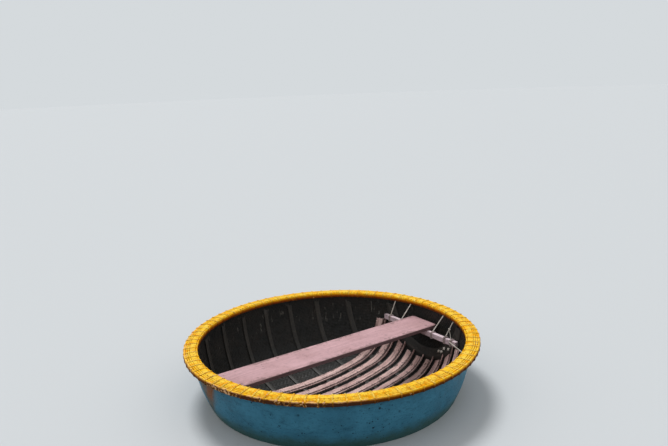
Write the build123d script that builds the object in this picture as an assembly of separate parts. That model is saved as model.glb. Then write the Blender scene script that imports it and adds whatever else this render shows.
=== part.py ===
from build123d import *
import math
import os

# A round basket boat, or coracle: a bowl of woven split bamboo under a painted skin, its mouth
# bound by split-bamboo hoops, with cross ribs and floor slats bent to the bowl, one plank seat,
# and two bearers that hang from the rim on short ropes.
# Millimetres. The origin is the centre of the waterline plane, +Z up. +X is to the right and +Y
# away as the boat is looked at, and the seat runs along a line turned from +X towards +Y.
# A "drop" is a depth below the top of the rim, and an "inset" is a distance in from the outside
# of the skin, square to it.

# Bowl: three arcs, wall, bilge and bottom, touching one another
freeboard = 378.0
hull_depth = 600.0
mouth_radius = 940.0
wall_arc_radius = 810.0
bilge_radius = 300.0
bottom_arc_radius = 2600.0
skin_thickness = 4.0
weave_thickness = 8.0
fit_gap = 0.3

# Rim
cap_thickness = 11.0
lashing_count = 80
lashing_width = 9.0
lashing_thickness = 2.5
lashing_corner = 8.0

# Hoops outward from the wall, then inward from it
# (node, width across the rim, drop of its top, height, rounding of its top edges)
outward_hoops = (
    ("rim_outer_packing", 17.7, cap_thickness + fit_gap, 24.0, 1.0),
    ("rim_third_hoop", 12.7, 0.8, 34.0, 4.0),
    ("rim_second_hoop", 11.7, 2.0, 33.5, 4.0),
    ("rim_outer_hoop", 16.7, 4.0, 32.0, 6.0),
)
inward_hoops = (
    ("rim_inner_packing", 8.5, cap_thickness + fit_gap, 24.0, 1.0),
    ("rim_inner_hoop", 11.0, 3.0, 33.0, 3.5),
)

# Seat, bearers and ropes, across the bowl at seat_angle
seat_angle = 35.0
seat_end_gap = 30.5
seat_width = 265.0
seat_offset = 32.5
seat_drop = 120.0
seat_thickness = 28.0
seat_rounding = 4.0
seat_corner_chamfer = 14.0
bearer_to_wall = 118.5
bearer_width = 28.0
bearer_height = 38.0
bearer_rounding = 2.0
bearer_end_gap = 18.0
bearer_clearance = 2.0
rope_diameter = 8.0
wrap_turns = 2
tie_inset = 5.5

# Ties from each bearer up to the rim: (place along the bearer, place of the rope's top along it)
bearer_ties = (
    (seat_offset - seat_width / 2 - 50.0, -150.0),
    (-284.0, -298.0),
    (seat_offset + seat_width / 2 + 35.0, 190.0),
    (330.0, 322.0),
)

# The tie at each bearer's near end, down to the wall
end_tie_along = -350.0
end_tie_rise = 12.0
end_tie_wall_along = -502.0
end_tie_wall_drop = 183.0

# Ribs and floor slats
rib_count = 9
rib_to_wall = 78.5
rib_width = 34.0
rib_thickness = 9.0
rib_top_drop = 60.0
slat_count = 9
slat_pitch = 105.0
slat_thickness = 8.0
slat_offset = 15.0
slat_top_drop = 190.0
wide_slat_width = 55.0
wide_slat_overrun = 5.0
thin_slat_width = 14.0
thin_slat_overrun = 20.0
thin_slat_gap = 5.0

# What follows from the sizes above
rim_top = freeboard
wall_inset = skin_thickness + fit_gap + weave_thickness
rib_inset = wall_inset + fit_gap
slat_inset = rib_inset + rib_thickness + fit_gap
floor_inset = slat_inset + slat_thickness
wall_top_drop = cap_thickness + fit_gap
seat_top = rim_top - seat_drop
seat_underside = seat_top - seat_thickness
bearer_top = seat_underside - fit_gap
bearer_middle = bearer_top - bearer_height / 2
far = 2 * mouth_radius


def level(drop):
    """Height of a place that lies a given drop below the top of the rim."""
    return rim_top - drop


def wall_radius(inset, drop):
    """Radius of the bowl's wall arc at an inset, a given drop below the top of the rim."""
    return mouth_radius - wall_arc_radius + math.sqrt((wall_arc_radius - inset) ** 2 - drop**2)


inside_radius = wall_radius(wall_inset, seat_drop)
bearer_offset = inside_radius - bearer_to_wall
outer_rib_offset = inside_radius - rib_to_wall
bearer_face = bearer_offset + bearer_width / 2
bearer_chord = 2 * math.sqrt(wall_radius(wall_inset, rim_top - bearer_top) ** 2 - bearer_face**2)
bearer_length = bearer_chord - 2 * bearer_end_gap
seat_length = 2 * (inside_radius - seat_end_gap)


def bowl_section(inset, top):
    """Half section of the solid bowl at an inset, up to a level, on the XZ plane."""
    wall = Pos(mouth_radius - wall_arc_radius, rim_top) * Circle(wall_arc_radius - inset)
    bottom = Pos(0, level(hull_depth) + bottom_arc_radius) * Circle(bottom_arc_radius - inset)
    window = Pos(far / 2, top - far / 2) * Rectangle(far, far)
    section = wall & bottom & window
    corner = section.vertices().sort_by(Axis.Y)[1]
    return Plane.XZ * fillet(corner, bilge_radius - inset)


def bowl(inset, top):
    """The solid bowl at an inset, up to a level."""
    return revolve(bowl_section(inset, top), Axis.Z)


def layer(outer_inset, inner_inset, top):
    """The part of the bowl between two insets, up to a level."""
    return revolve(bowl_section(outer_inset, top) - bowl_section(inner_inset, top), Axis.Z)


def across(shape):
    """Turn what was made along X to the line of the seat."""
    return Rot(0, 0, seat_angle) * shape


def hoop(inner_radius, width, top_drop, height, rounding):
    """One split-bamboo hoop with rounded top edges."""
    place = Pos(inner_radius + width / 2, level(top_drop + height / 2))
    section = place * Rectangle(width, height)
    edges = section.vertices().group_by(Axis.Y)[-1]
    section = fillet(edges, min(rounding, width / 3))
    return revolve(Plane.XZ * section, Axis.Z)


def rim_hoops():
    """Every hoop of the rim by its node, and the rim's inner and outer radius."""
    hoops = {}
    outer = wall_radius(0, 0) + fit_gap
    for node, width, top_drop, height, rounding in outward_hoops:
        hoops[node] = hoop(outer, width, top_drop, height, rounding)
        outer += width + fit_gap
        if node == "rim_outer_packing":
            cap_outer = outer - fit_gap
    inner = wall_radius(wall_inset, wall_top_drop + inward_hoops[0][3]) - fit_gap
    for node, width, top_drop, height, rounding in inward_hoops:
        if node == "rim_inner_packing":
            cap_inner = inner - width
        hoops[node] = hoop(inner - width, width, top_drop, height, rounding)
        inner -= width + fit_gap
    hoops["rim_cap"] = hoop(cap_inner, cap_outer - cap_inner, 0, cap_thickness, cap_thickness / 4)
    return hoops, inner + fit_gap, outer - fit_gap


def rim_lashings(inner_radius, outer_radius):
    """Flat lashings over the bundle of hoops, tucked in under it on both sides of the wall."""
    bottom_drop = max(top + height for _, _, top, height, _ in outward_hoops + inward_hoops)
    width = outer_radius - inner_radius + 2 * fit_gap
    height = bottom_drop + 2 * fit_gap
    middle = (inner_radius + outer_radius) / 2
    place = Pos(middle, level(bottom_drop / 2))
    inside = Rectangle(width, height)
    inside = fillet(inside.vertices().group_by(Axis.Y)[-1], lashing_corner)
    thick = 2 * lashing_thickness
    outside = Rectangle(width + thick, height + thick)
    outside = fillet(outside.vertices().group_by(Axis.Y)[-1], lashing_corner + lashing_thickness)
    outside = fillet(outside.vertices().group_by(Axis.Y)[0], lashing_thickness)
    low_drop = bottom_drop + fit_gap + lashing_thickness
    wall_outside = wall_radius(0, bottom_drop) + fit_gap
    wall_inside = wall_radius(wall_inset, low_drop) - fit_gap
    slot = Pos((wall_outside + wall_inside) / 2, level(bottom_drop + lashing_thickness))
    slot *= Rectangle(wall_outside - wall_inside, 2 * thick)
    section = Plane.XZ * (place * (outside - inside) - slot)
    turn = math.degrees(lashing_width / outer_radius)
    band = revolve(section, Axis.Z, turn)
    return [Rot(0, 0, k * 360 / lashing_count) * band for k in range(lashing_count)]


def strip(outer_inset, inner_inset, top_drop, centre, width, reach, along):
    """A strip of one layer of the bowl: a straight band over the bowl, bent to it."""
    length = 2 * reach
    size = (length, width) if along else (width, length)
    place = (0, centre) if along else (centre, 0)
    band = Pos(place[0], place[1], 0) * Box(size[0], size[1], far)
    return layer(outer_inset, inner_inset, level(top_drop)) & band


def cross_ribs():
    """Ribs that cross the seat's line, evenly apart, bent up the bowl to just under the rim."""
    ribs = []
    for k in range(rib_count):
        centre = (2 * k / (rib_count - 1) - 1) * outer_rib_offset
        inner = rib_inset + rib_thickness
        ribs.append(strip(rib_inset, inner, rib_top_drop, centre, rib_width, far / 2, False))
    return ribs


def floor_slats():
    """Wide and thin slats over the ribs, along the seat's line."""
    wide, thin = [], []
    beside = wide_slat_width / 2 + thin_slat_gap + thin_slat_width / 2
    for k in range(slat_count):
        centre = (k - (slat_count - 1) / 2) * slat_pitch + slat_offset
        lie = (slat_inset, floor_inset, slat_top_drop)
        wide_reach = bearer_offset + wide_slat_overrun
        thin_reach = bearer_offset + thin_slat_overrun
        wide.append(strip(*lie, centre, wide_slat_width, wide_reach, True))
        thin.append(strip(*lie, centre - beside, thin_slat_width, thin_reach, True))
    return wide, thin


def seat_plank():
    """The plank across the bowl, its ends cut square and its corners nipped."""
    place = Pos(0, seat_offset, seat_underside + seat_thickness / 2)
    plank = place * Box(seat_length, seat_width, seat_thickness)
    plank = chamfer(plank.edges().filter_by(Axis.Z), seat_corner_chamfer)
    plank = fillet(plank.faces().sort_by(Axis.Z)[-1].edges(), seat_rounding)
    return plank


def bearer(side):
    """The bearer on one side, 1 for right and -1 for left, its ends square and clear of the wall."""
    place = Pos(side * bearer_offset, 0, bearer_middle)
    block = place * Box(bearer_width, bearer_length, bearer_height)
    block = fillet(block.edges().filter_by(Axis.Y), bearer_rounding)
    return block & bowl(wall_inset + bearer_clearance, rim_top)


def bearer_wrap(side, along):
    """Turns of rope round the bearer on one side, at one place along it."""
    gap = fit_gap + rope_diameter / 2
    loop_width = bearer_width + 2 * gap
    loop_height = bearer_height + 2 * gap
    loop = RectangleRounded(loop_width, loop_height, gap).face().outer_wire()
    turns = []
    for k in range(wrap_turns):
        y = along + (k - (wrap_turns - 1) / 2) * (rope_diameter + fit_gap)
        centre = (side * bearer_offset, y, bearer_middle)
        path = Plane(centre, x_dir=(1, 0, 0), z_dir=(0, 1, 0)) * loop
        start = Plane(path @ 0, z_dir=path % 0)
        turns.append(sweep(start * Circle(rope_diameter / 2), path))
    return turns


def straight_rope(start, end):
    """A straight rope through two points, running on past both."""
    line = (end - start).normalized()
    spare = 10 * rope_diameter
    length = (end - start).length + 2 * spare
    return Plane(start - line * spare, z_dir=line) * extrude(Circle(rope_diameter / 2), length)


def rope_top(side, top_along, radius, height):
    """A place under the rim, midway between the two lashings on either side of it."""
    pitch = 360 / lashing_count
    angle = math.degrees(math.atan2(top_along, side * math.sqrt(radius**2 - top_along**2)))
    midway = (math.floor((angle + seat_angle) / pitch) + 0.5) * pitch
    turned = math.radians(midway - seat_angle)
    return Vector(radius * math.cos(turned), radius * math.sin(turned), height)


def bearer_rope(side, along, top_along, rim_inner_radius, rim_bottom):
    """One taut rope from the underside of the rim down to its turns on the bearer."""
    top = rope_top(side, top_along, rim_inner_radius + tie_inset, rim_bottom)
    foot_level = bearer_top + 2 * fit_gap + rope_diameter
    foot = Vector(side * bearer_offset, along, foot_level)
    high = rim_bottom - fit_gap
    slab = Pos(0, 0, (high + foot_level) / 2) * Box(2 * far, 2 * far, high - foot_level)
    return straight_rope(foot, top) & slab


def end_rope(side):
    """The rope from the turns at a bearer's near end, beside the bearer, to the wall."""
    beside = bearer_offset - bearer_width / 2 - 2 * fit_gap - 1.5 * rope_diameter
    start = Vector(side * beside, end_tie_along, bearer_middle + end_tie_rise)
    wall = wall_radius(wall_inset, end_tie_wall_drop)
    across_wall = math.sqrt(wall**2 - end_tie_wall_along**2)
    end = Vector(side * across_wall, end_tie_wall_along, level(end_tie_wall_drop))
    near = Pos(0, end_tie_along - far / 2, 0) * Box(2 * far, far, 2 * far)
    return straight_rope(start, end) & near & bowl(rib_inset, rim_top)


hoops, rim_inner_radius, rim_outer_radius = rim_hoops()
wide_slats, thin_slats = floor_slats()
rim_bottom = level(max(top + height for _, _, top, height, _ in inward_hoops))
turns, ropes = [], []
for side in (1, -1):
    for along, top_along in bearer_ties:
        turns += bearer_wrap(side, along)
        ropes.append(bearer_rope(side, along, top_along, rim_inner_radius, rim_bottom))
    turns += bearer_wrap(side, end_tie_along)
    ropes.append(end_rope(side))

nodes = {
    "outer_skin": [layer(0, skin_thickness, level(wall_top_drop))],
    "woven_shell": [layer(skin_thickness + fit_gap, wall_inset, level(wall_top_drop))],
    **{node: [shape] for node, shape in hoops.items()},
    "rim_lashings": rim_lashings(rim_inner_radius, rim_outer_radius),
    "cross_ribs": [across(rib) for rib in cross_ribs()],
    "wide_floor_slats": [across(slat) for slat in wide_slats],
    "thin_floor_slats": [across(slat) for slat in thin_slats],
    "seat_plank": [across(seat_plank())],
    "bearer_right": [across(bearer(1))],
    "bearer_left": [across(bearer(-1))],
    "bearer_rope_turns": [across(turn) for turn in turns],
    "bearer_ropes": [across(rope) for rope in ropes],
}

os.makedirs("parts", exist_ok=True)
for node, shapes in nodes.items():
    solids = [solid for shape in shapes for solid in shape.solids()]
    export_step(solids[0] if len(solids) == 1 else Compound(children=solids), f"parts/{node}.step")
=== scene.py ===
"""Looks of a round basket boat: hull, rim, ribs, slats, seat and ropes.

Metres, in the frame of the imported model: the origin is the centre of the waterline plane and
+Z is up. A drop is a depth below the top of the rim, and an inset is a distance in from the
outside of the skin, square to it. The seat's line is turned from +X by the seat angle: u runs
along the seat and v across it. Each sub-assembly is a class whose fields are its sizes and
whose methods build its meshes and dress them. Each finish is a frozen dataclass.
"""

from __future__ import annotations

import functools
import logging
import math
from collections.abc import Callable
from dataclasses import dataclass, field
from enum import Enum
from typing import Any

import bpy
import numpy as np
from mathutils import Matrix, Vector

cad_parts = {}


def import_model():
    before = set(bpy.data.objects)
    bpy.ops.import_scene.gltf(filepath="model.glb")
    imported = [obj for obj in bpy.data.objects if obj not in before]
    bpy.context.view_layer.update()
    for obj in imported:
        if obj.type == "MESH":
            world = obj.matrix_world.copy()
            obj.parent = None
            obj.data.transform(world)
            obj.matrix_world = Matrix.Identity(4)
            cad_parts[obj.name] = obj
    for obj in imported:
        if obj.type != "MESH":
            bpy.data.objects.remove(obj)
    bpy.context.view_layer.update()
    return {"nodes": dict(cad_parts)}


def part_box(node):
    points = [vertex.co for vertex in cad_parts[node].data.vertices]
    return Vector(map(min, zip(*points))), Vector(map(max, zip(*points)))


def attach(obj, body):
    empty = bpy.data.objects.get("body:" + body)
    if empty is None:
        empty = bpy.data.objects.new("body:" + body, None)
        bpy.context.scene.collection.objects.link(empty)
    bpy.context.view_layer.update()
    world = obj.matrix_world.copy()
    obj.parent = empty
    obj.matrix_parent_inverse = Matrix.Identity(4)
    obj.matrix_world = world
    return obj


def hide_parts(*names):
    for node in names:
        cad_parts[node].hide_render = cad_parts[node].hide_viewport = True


LOG = logging.getLogger("basket_boat")
BODY = "root"
FIT_GAP = 0.0003
SEAT_ANGLE = math.radians(35.0)
FULL_TURN = 2.0 * math.pi
CREASE = math.radians(48.0)
LASHING_COUNT = 80
WEAVE_STRIP = 0.0225
STRAND_SIDES = 7
ALONG, ACROSS, UP = np.eye(3)

Colour = tuple[float, float, float]


class Side(Enum):
    """The side of the boat that a bearer or a rope is on, as a sign along the seat's line."""

    RIGHT = 1.0
    LEFT = -1.0


class Run(Enum):
    """The way a strip crosses the bowl."""

    ALONG_SEAT = "along the seat"
    ACROSS_SEAT = "across the seat"


def turned(points: np.ndarray, angle: float = SEAT_ANGLE) -> np.ndarray:
    """Turn points about the upright axis, by default from the seat's line to the boat's frame.

    Args:
        points: Places as (u, v, z), or (u, v) of the plan, in an array of any shape.
        angle: The turn from +X towards +Y.

    Returns:
        The same places as (x, y, z) or (x, y).
    """
    cos, sin = math.cos(angle), math.sin(angle)
    turn = np.array([[cos, sin, 0.0], [-sin, cos, 0.0], [0.0, 0.0, 1.0]])
    size = points.shape[-1]
    return points @ turn[:size, :size]


def compass(angle: np.ndarray) -> np.ndarray:
    """Directions at angles from the first axis: the cosine and the sine of each."""
    return np.stack([np.cos(angle), np.sin(angle)], axis=-1)


def circle(count: int) -> np.ndarray:
    """Points evenly spaced round a circle of radius one."""
    return compass(np.arange(count) * FULL_TURN / count)


def on_rings(radius: np.ndarray, direction: np.ndarray, height: np.ndarray) -> np.ndarray:
    """Places round the upright axis: each radius times its direction, at its height.

    Args:
        radius: Distances from the axis.
        direction: Directions of the plan, (..., 2).
        height: Heights, in a shape that fits.

    Returns:
        The places, (..., 3).
    """
    plan = radius[..., None] * direction
    return np.concatenate([plan, np.broadcast_to(height[..., None], plan.shape[:-1] + (1,))], axis=-1)


def wrapped(grid: np.ndarray, axis: int = 0) -> np.ndarray:
    """A grid with its first line along an axis repeated after its last."""
    return np.concatenate([grid, grid.take([0], axis=axis)], axis=axis)


def quads(grid: np.ndarray, lead: int = 0, clockwise: bool = False) -> np.ndarray:
    """The four corners of each cell of a grid.

    Args:
        grid: What lies at the grid's points, (rows, columns, ...), after some more axes.
        lead: How many axes come before the rows.
        clockwise: Go the other way round from the same first corner.

    Returns:
        What lies at the corners, (rows - 1, columns - 1, 4, ...) after those axes.
    """
    ends = (slice(None, -1), slice(1, None))
    order = ((0, 0), (1, 0), (1, 1), (0, 1)) if clockwise else ((0, 0), (0, 1), (1, 1), (1, 0))
    before = (slice(None),) * lead
    corners = [grid[(*before, ends[row], ends[column])] for row, column in order]
    return np.stack(corners, axis=lead + 2)


def unit(vectors: np.ndarray) -> np.ndarray:
    """Scale vectors to length one."""
    return vectors / np.maximum(np.linalg.norm(vectors, axis=-1, keepdims=True), 1e-12)


def smooth_step(value: np.ndarray, low: float, high: float) -> np.ndarray:
    """Rise from 0 at low to 1 at high, level at both: 3 t squared less 2 t cubed."""
    t = np.clip((value - low) / (high - low), 0.0, 1.0)
    return t * t * (3.0 - 2.0 * t)


def ripple(phase: np.ndarray, waves: tuple[int, ...], seed: int) -> np.ndarray:
    """An uneven wave: the sum of sines of whole numbers of waves, each with its own start.

    Args:
        phase: Angles, where a full turn closes the wave.
        waves: How many waves each sine makes in a full turn.
        seed: Picks the starts.

    Returns:
        Values between about -1 and 1, in the shape of phase.
    """
    starts = np.random.default_rng(seed).uniform(0.0, FULL_TURN, len(waves))
    total = sum(np.sin(count * phase + start) for count, start in zip(waves, starts))
    return total / math.sqrt(len(waves))


def lengths_along(path: np.ndarray) -> np.ndarray:
    """Distance run along each path at each of its points, from (..., rows, n) to (..., rows)."""
    steps = np.linalg.norm(np.diff(path, axis=-2, prepend=path[..., :1, :]), axis=-1)
    return np.cumsum(steps, axis=-1)


def respaced(path: np.ndarray, step: float) -> np.ndarray:
    """Points evenly spaced along a path of straight runs.

    Args:
        path: The path's points, (rows, 3).
        step: About how far apart the new points are.

    Returns:
        The new points, with the same first and last.
    """
    run = lengths_along(path)
    places = np.linspace(0.0, run[-1], max(2, int(round(run[-1] / step)) + 1))
    return np.stack([np.interp(places, run, axis) for axis in path.T], axis=-1)


def rounded_route(corners: np.ndarray, rounding: np.ndarray, arc_points: int = 6) -> np.ndarray:
    """A route of straight runs whose inner corners are rounded by parabolas.

    The parabola at a corner starts and ends one rounding away from it along its two runs:
    point = (1-t)^2 start + 2t(1-t) corner + t^2 end.

    Args:
        corners: The route's corners, (count, 2 or 3).
        rounding: The rounding at each corner but the first and last.
        arc_points: Points on each parabola.

    Returns:
        Points along the route.
    """
    t = np.linspace(0.0, 1.0, arc_points)[:, None]
    pieces = [corners[:1]]
    for k, size in enumerate(rounding, start=1):
        start = corners[k] + unit(corners[k - 1] - corners[k]) * size
        end = corners[k] + unit(corners[k + 1] - corners[k]) * size
        pieces.append((1 - t) ** 2 * start + 2 * t * (1 - t) * corners[k] + t**2 * end)
    pieces.append(corners[-1:])
    return np.concatenate(pieces)


def rounded_box(
    width: float, height: float, rounding: float, side_points: int = 4, corner_points: int = 4
) -> tuple[np.ndarray, np.ndarray]:
    """The section of a bar with rounded corners, counter-clockwise.

    Each corner is a quarter of a circle and each side a straight run between two of them.

    Args:
        width: The size along the first axis.
        height: The size along the second axis.
        rounding: The radius of the corners.
        side_points: Points on each side between its corners.
        corner_points: Points on each corner.

    Returns:
        The points, (count, 2), and how near a corner each is, from 0 to 1.
    """
    quarter = np.linspace(0.0, math.pi / 2, corner_points)
    arcs = []
    for k, (right, up) in enumerate(((1, 1), (-1, 1), (-1, -1), (1, -1))):
        centre = np.array([right * (width / 2 - rounding), up * (height / 2 - rounding)])
        arcs.append(centre + rounding * compass(quarter + k * math.pi / 2))
    points, edge = [], []
    t = np.linspace(0.0, 1.0, side_points + 2)[1:-1, None]
    for arc, following in zip(arcs, arcs[1:] + arcs[:1]):
        points += [arc, arc[-1] * (1 - t) + following[0] * t]
        edge += [np.ones(corner_points), np.abs(2 * t[:, 0] - 1) ** 4]
    return np.concatenate(points), np.concatenate(edge)


def frames(path: np.ndarray, guide: np.ndarray) -> tuple[np.ndarray, np.ndarray]:
    """Two directions square to a path at each point.

    The side is the guide crossed with the tangent, and up is the tangent crossed with the side.

    Args:
        path: Points, (..., rows, 3).
        guide: A direction that is nowhere in line with the path.

    Returns:
        The side and up directions, each in the shape of the path.
    """
    tangent = unit(np.gradient(path, axis=-2))
    side = unit(np.cross(guide, tangent))
    return side, np.cross(tangent, side)


def carry(path: np.ndarray, side: np.ndarray, up: np.ndarray, section: np.ndarray) -> np.ndarray:
    """Carry a section along a path: path + first number times side + second number times up.

    Args:
        path: Points, (..., rows, 3).
        side: Directions of the section's first axis, as the path.
        up: Directions of its second axis, as the path.
        section: Points, (columns, 2), or one section for each row, (..., rows, columns, 2).

    Returns:
        Points, (..., rows, columns, 3).
    """
    first, second = section[..., 0, None], section[..., 1, None]
    return path[..., None, :] + first * side[..., None, :] + second * up[..., None, :]


def laid_rope(path: np.ndarray, diameter: float, lay: float, guide: np.ndarray) -> np.ndarray:
    """Three strands twisted about a path, each a circle carried along its own line.

    Three equal circles fill a circle of the rope's diameter when each measures 0.464 of it, and
    their centres then go round the path once for each length of lay.

    Args:
        path: Points evenly spaced along the rope, (rows, 3).
        diameter: The rope's diameter.
        lay: The length in which a strand goes once round.
        guide: A direction that is nowhere in line with the path.

    Returns:
        The strands' points, (3, rows, sides, 3).
    """
    strand = 0.232 * diameter
    side, up = frames(path, guide)
    turns = lengths_along(path) * FULL_TURN / lay + np.arange(3)[:, None] * FULL_TURN / 3
    reach = diameter / 2 - strand
    centres = path + reach * (np.cos(turns)[..., None] * side + np.sin(turns)[..., None] * up)
    return carry(centres, *frames(centres, guide), strand * 1.06 * circle(STRAND_SIDES))


def trefoil(centre: np.ndarray, axes: np.ndarray, size: float, cord: float) -> np.ndarray:
    """A tight closed knot of cord.

    Its line is (sin t + 2 sin 2t, cos t - 2 cos 2t, -1.3 sin 3t) along three axes, scaled to
    the size, with a circle carried round it.

    Args:
        centre: The knot's middle.
        axes: Three directions square to one another, one in each row.
        size: The knot's width.
        cord: The cord's diameter.

    Returns:
        Points, (rows, sides, 3), where the last row meets the first.
    """
    t = np.arange(48) * FULL_TURN / 48
    flat = [np.sin(t) + 2 * np.sin(2 * t), np.cos(t) - 2 * np.cos(2 * t)]
    line = np.stack([*flat, -1.3 * np.sin(3 * t)], axis=-1) * (size - cord) / 6
    tangent = unit(np.roll(line, -1, axis=0) - np.roll(line, 1, axis=0))
    side = unit(np.cross(tangent, line))
    section = circle(STRAND_SIDES) * cord / 2
    return carry(line, side, np.cross(tangent, side), section) @ axes + centre


def chart(along: np.ndarray, around: np.ndarray) -> np.ndarray:
    """A UV grid: the first number runs along the rows, the second along the columns."""
    return np.stack(np.meshgrid(along, around, indexing="ij"), axis=-1)


def girth(section: np.ndarray) -> np.ndarray:
    """Distance run round a closed section at each point, and back at the first."""
    return lengths_along(wrapped(section))


class Sheaf:
    """Grids of points gathered into one mesh, with a UV map and two values at each point.

    Edge says how near an edge a point lies and tone is one number for each like piece, so that
    a finish can wear the edges and vary from piece to piece.
    """

    def __init__(self) -> None:
        """Start with nothing."""
        self.points: list[np.ndarray] = []
        self.values: list[np.ndarray] = []
        self.faces: list[np.ndarray] = []
        self.charts: list[np.ndarray] = []
        self.count = 0

    def vertices(self, points: np.ndarray, edge: Any = 0.0, tone: Any = 0.0) -> np.ndarray:
        """Add points.

        Args:
            points: Places, in an array of any shape that ends in 3.
            edge: How near an edge each lies.
            tone: The number of its piece.

        Returns:
            The points' numbers, in the shape of the points.
        """
        shape = points.shape[:-1]
        values = [np.broadcast_to(value, shape).ravel() for value in (edge, tone)]
        self.points.append(points.reshape(-1, 3))
        self.values.append(np.stack(values, axis=-1))
        numbers = self.count + np.arange(math.prod(shape)).reshape(shape)
        self.count += numbers.size
        return numbers

    def polygons(self, corners: np.ndarray, places: np.ndarray, flip: bool = False) -> None:
        """Add faces.

        Args:
            corners: The numbers of their corners, (..., corners).
            places: The corners' UV places, (..., corners, 2).
            flip: Turn the faces round.
        """
        order = slice(None, None, -1) if flip else slice(None)
        self.faces.append(corners.reshape(-1, corners.shape[-1])[:, order])
        self.charts.append(places.reshape(-1, corners.shape[-1], 2)[:, order])

    def grids(
        self,
        points: np.ndarray,
        places: np.ndarray,
        edge: Any = 0.0,
        tone: Any = 0.0,
        closed: bool = False,
        flip: bool = False,
    ) -> None:
        """Add a stack of like tubes, whose columns go round, their ends closed by fans.

        A face points outwards where its columns go counter-clockwise as seen from its last row.

        Args:
            points: Places, (..., rows, columns, 3).
            places: UV places, (..., rows, columns + 1, 2), with one row more where closed.
            edge: How near an edge each point lies, in a shape that fits (..., rows, columns).
            tone: The number of each piece, in a shape that fits as well.
            closed: The last row meets the first, so there are no ends.
            flip: Turn the faces round.
        """
        points = points.reshape((-1,) + points.shape[-3:])
        ring = wrapped(self.vertices(points, edge, tone), 2)
        if closed:
            ring = wrapped(ring, 1)
        places = np.broadcast_to(places, ring.shape + (2,))
        self.polygons(quads(ring, 1), quads(places, 1), flip)
        for row, forward in () if closed else ((0, False), (-1, True)):
            middle = self.vertices(points[:, row].mean(axis=1), 0.5, np.ravel(tone).mean())
            hub = np.repeat(middle[:, None], ring.shape[2] - 1, axis=1)
            spot = np.repeat(places[:, row].mean(axis=1)[:, None], ring.shape[2] - 1, axis=1)
            fan = np.stack([hub, ring[:, row, :-1], ring[:, row, 1:]], axis=-1)
            spots = np.stack([spot, places[:, row, :-1], places[:, row, 1:]], axis=-2)
            self.polygons(fan, spots, flip == forward)

    def piece(self, name: str, material: bpy.types.Material, slot: str, *replaced: str) -> None:
        """Make the mesh, dress it and let it ride on the hull.

        Args:
            name: The piece's name.
            material: Its finish.
            slot: The record's material slot that the finish stands for; not used.
            replaced: The nodes that the piece stands for.
        """
        mesh = bpy.data.meshes.new(name)
        points = np.concatenate(self.points)
        sizes = np.concatenate([np.full(len(face), face.shape[1]) for face in self.faces])
        mesh.vertices.add(len(points))
        mesh.vertices.foreach_set("co", points.astype(np.float32).ravel())
        mesh.loops.add(int(sizes.sum()))
        loops = np.concatenate([face.ravel() for face in self.faces]).astype(np.int32)
        mesh.loops.foreach_set("vertex_index", loops)
        mesh.polygons.add(len(sizes))
        starts = np.concatenate([[0], np.cumsum(sizes)[:-1]]).astype(np.int32)
        mesh.polygons.foreach_set("loop_start", starts)
        mesh.polygons.foreach_set("use_smooth", np.ones(len(sizes), dtype=bool))
        layer = mesh.uv_layers.new(name="UVMap")
        places = np.concatenate([spot.reshape(-1, 2) for spot in self.charts])
        layer.data.foreach_set("uv", places.astype(np.float32).ravel())
        values = np.concatenate(self.values).astype(np.float32)
        for column, label in enumerate(("edge", "tone")):
            attribute = mesh.attributes.new(label, "FLOAT", "POINT")
            attribute.data.foreach_set("value", values[:, column].copy())
        mesh.update(calc_edges=True)
        mesh.validate()
        mesh.set_sharp_from_angle(angle=CREASE)
        mesh.materials.append(material)
        piece = bpy.data.objects.new(name, mesh)
        bpy.context.scene.collection.objects.link(piece)
        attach(piece, BODY)
        if replaced:
            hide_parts(*replaced)
        LOG.info("%s: %d points, %d faces", name, len(points), len(sizes))


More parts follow.
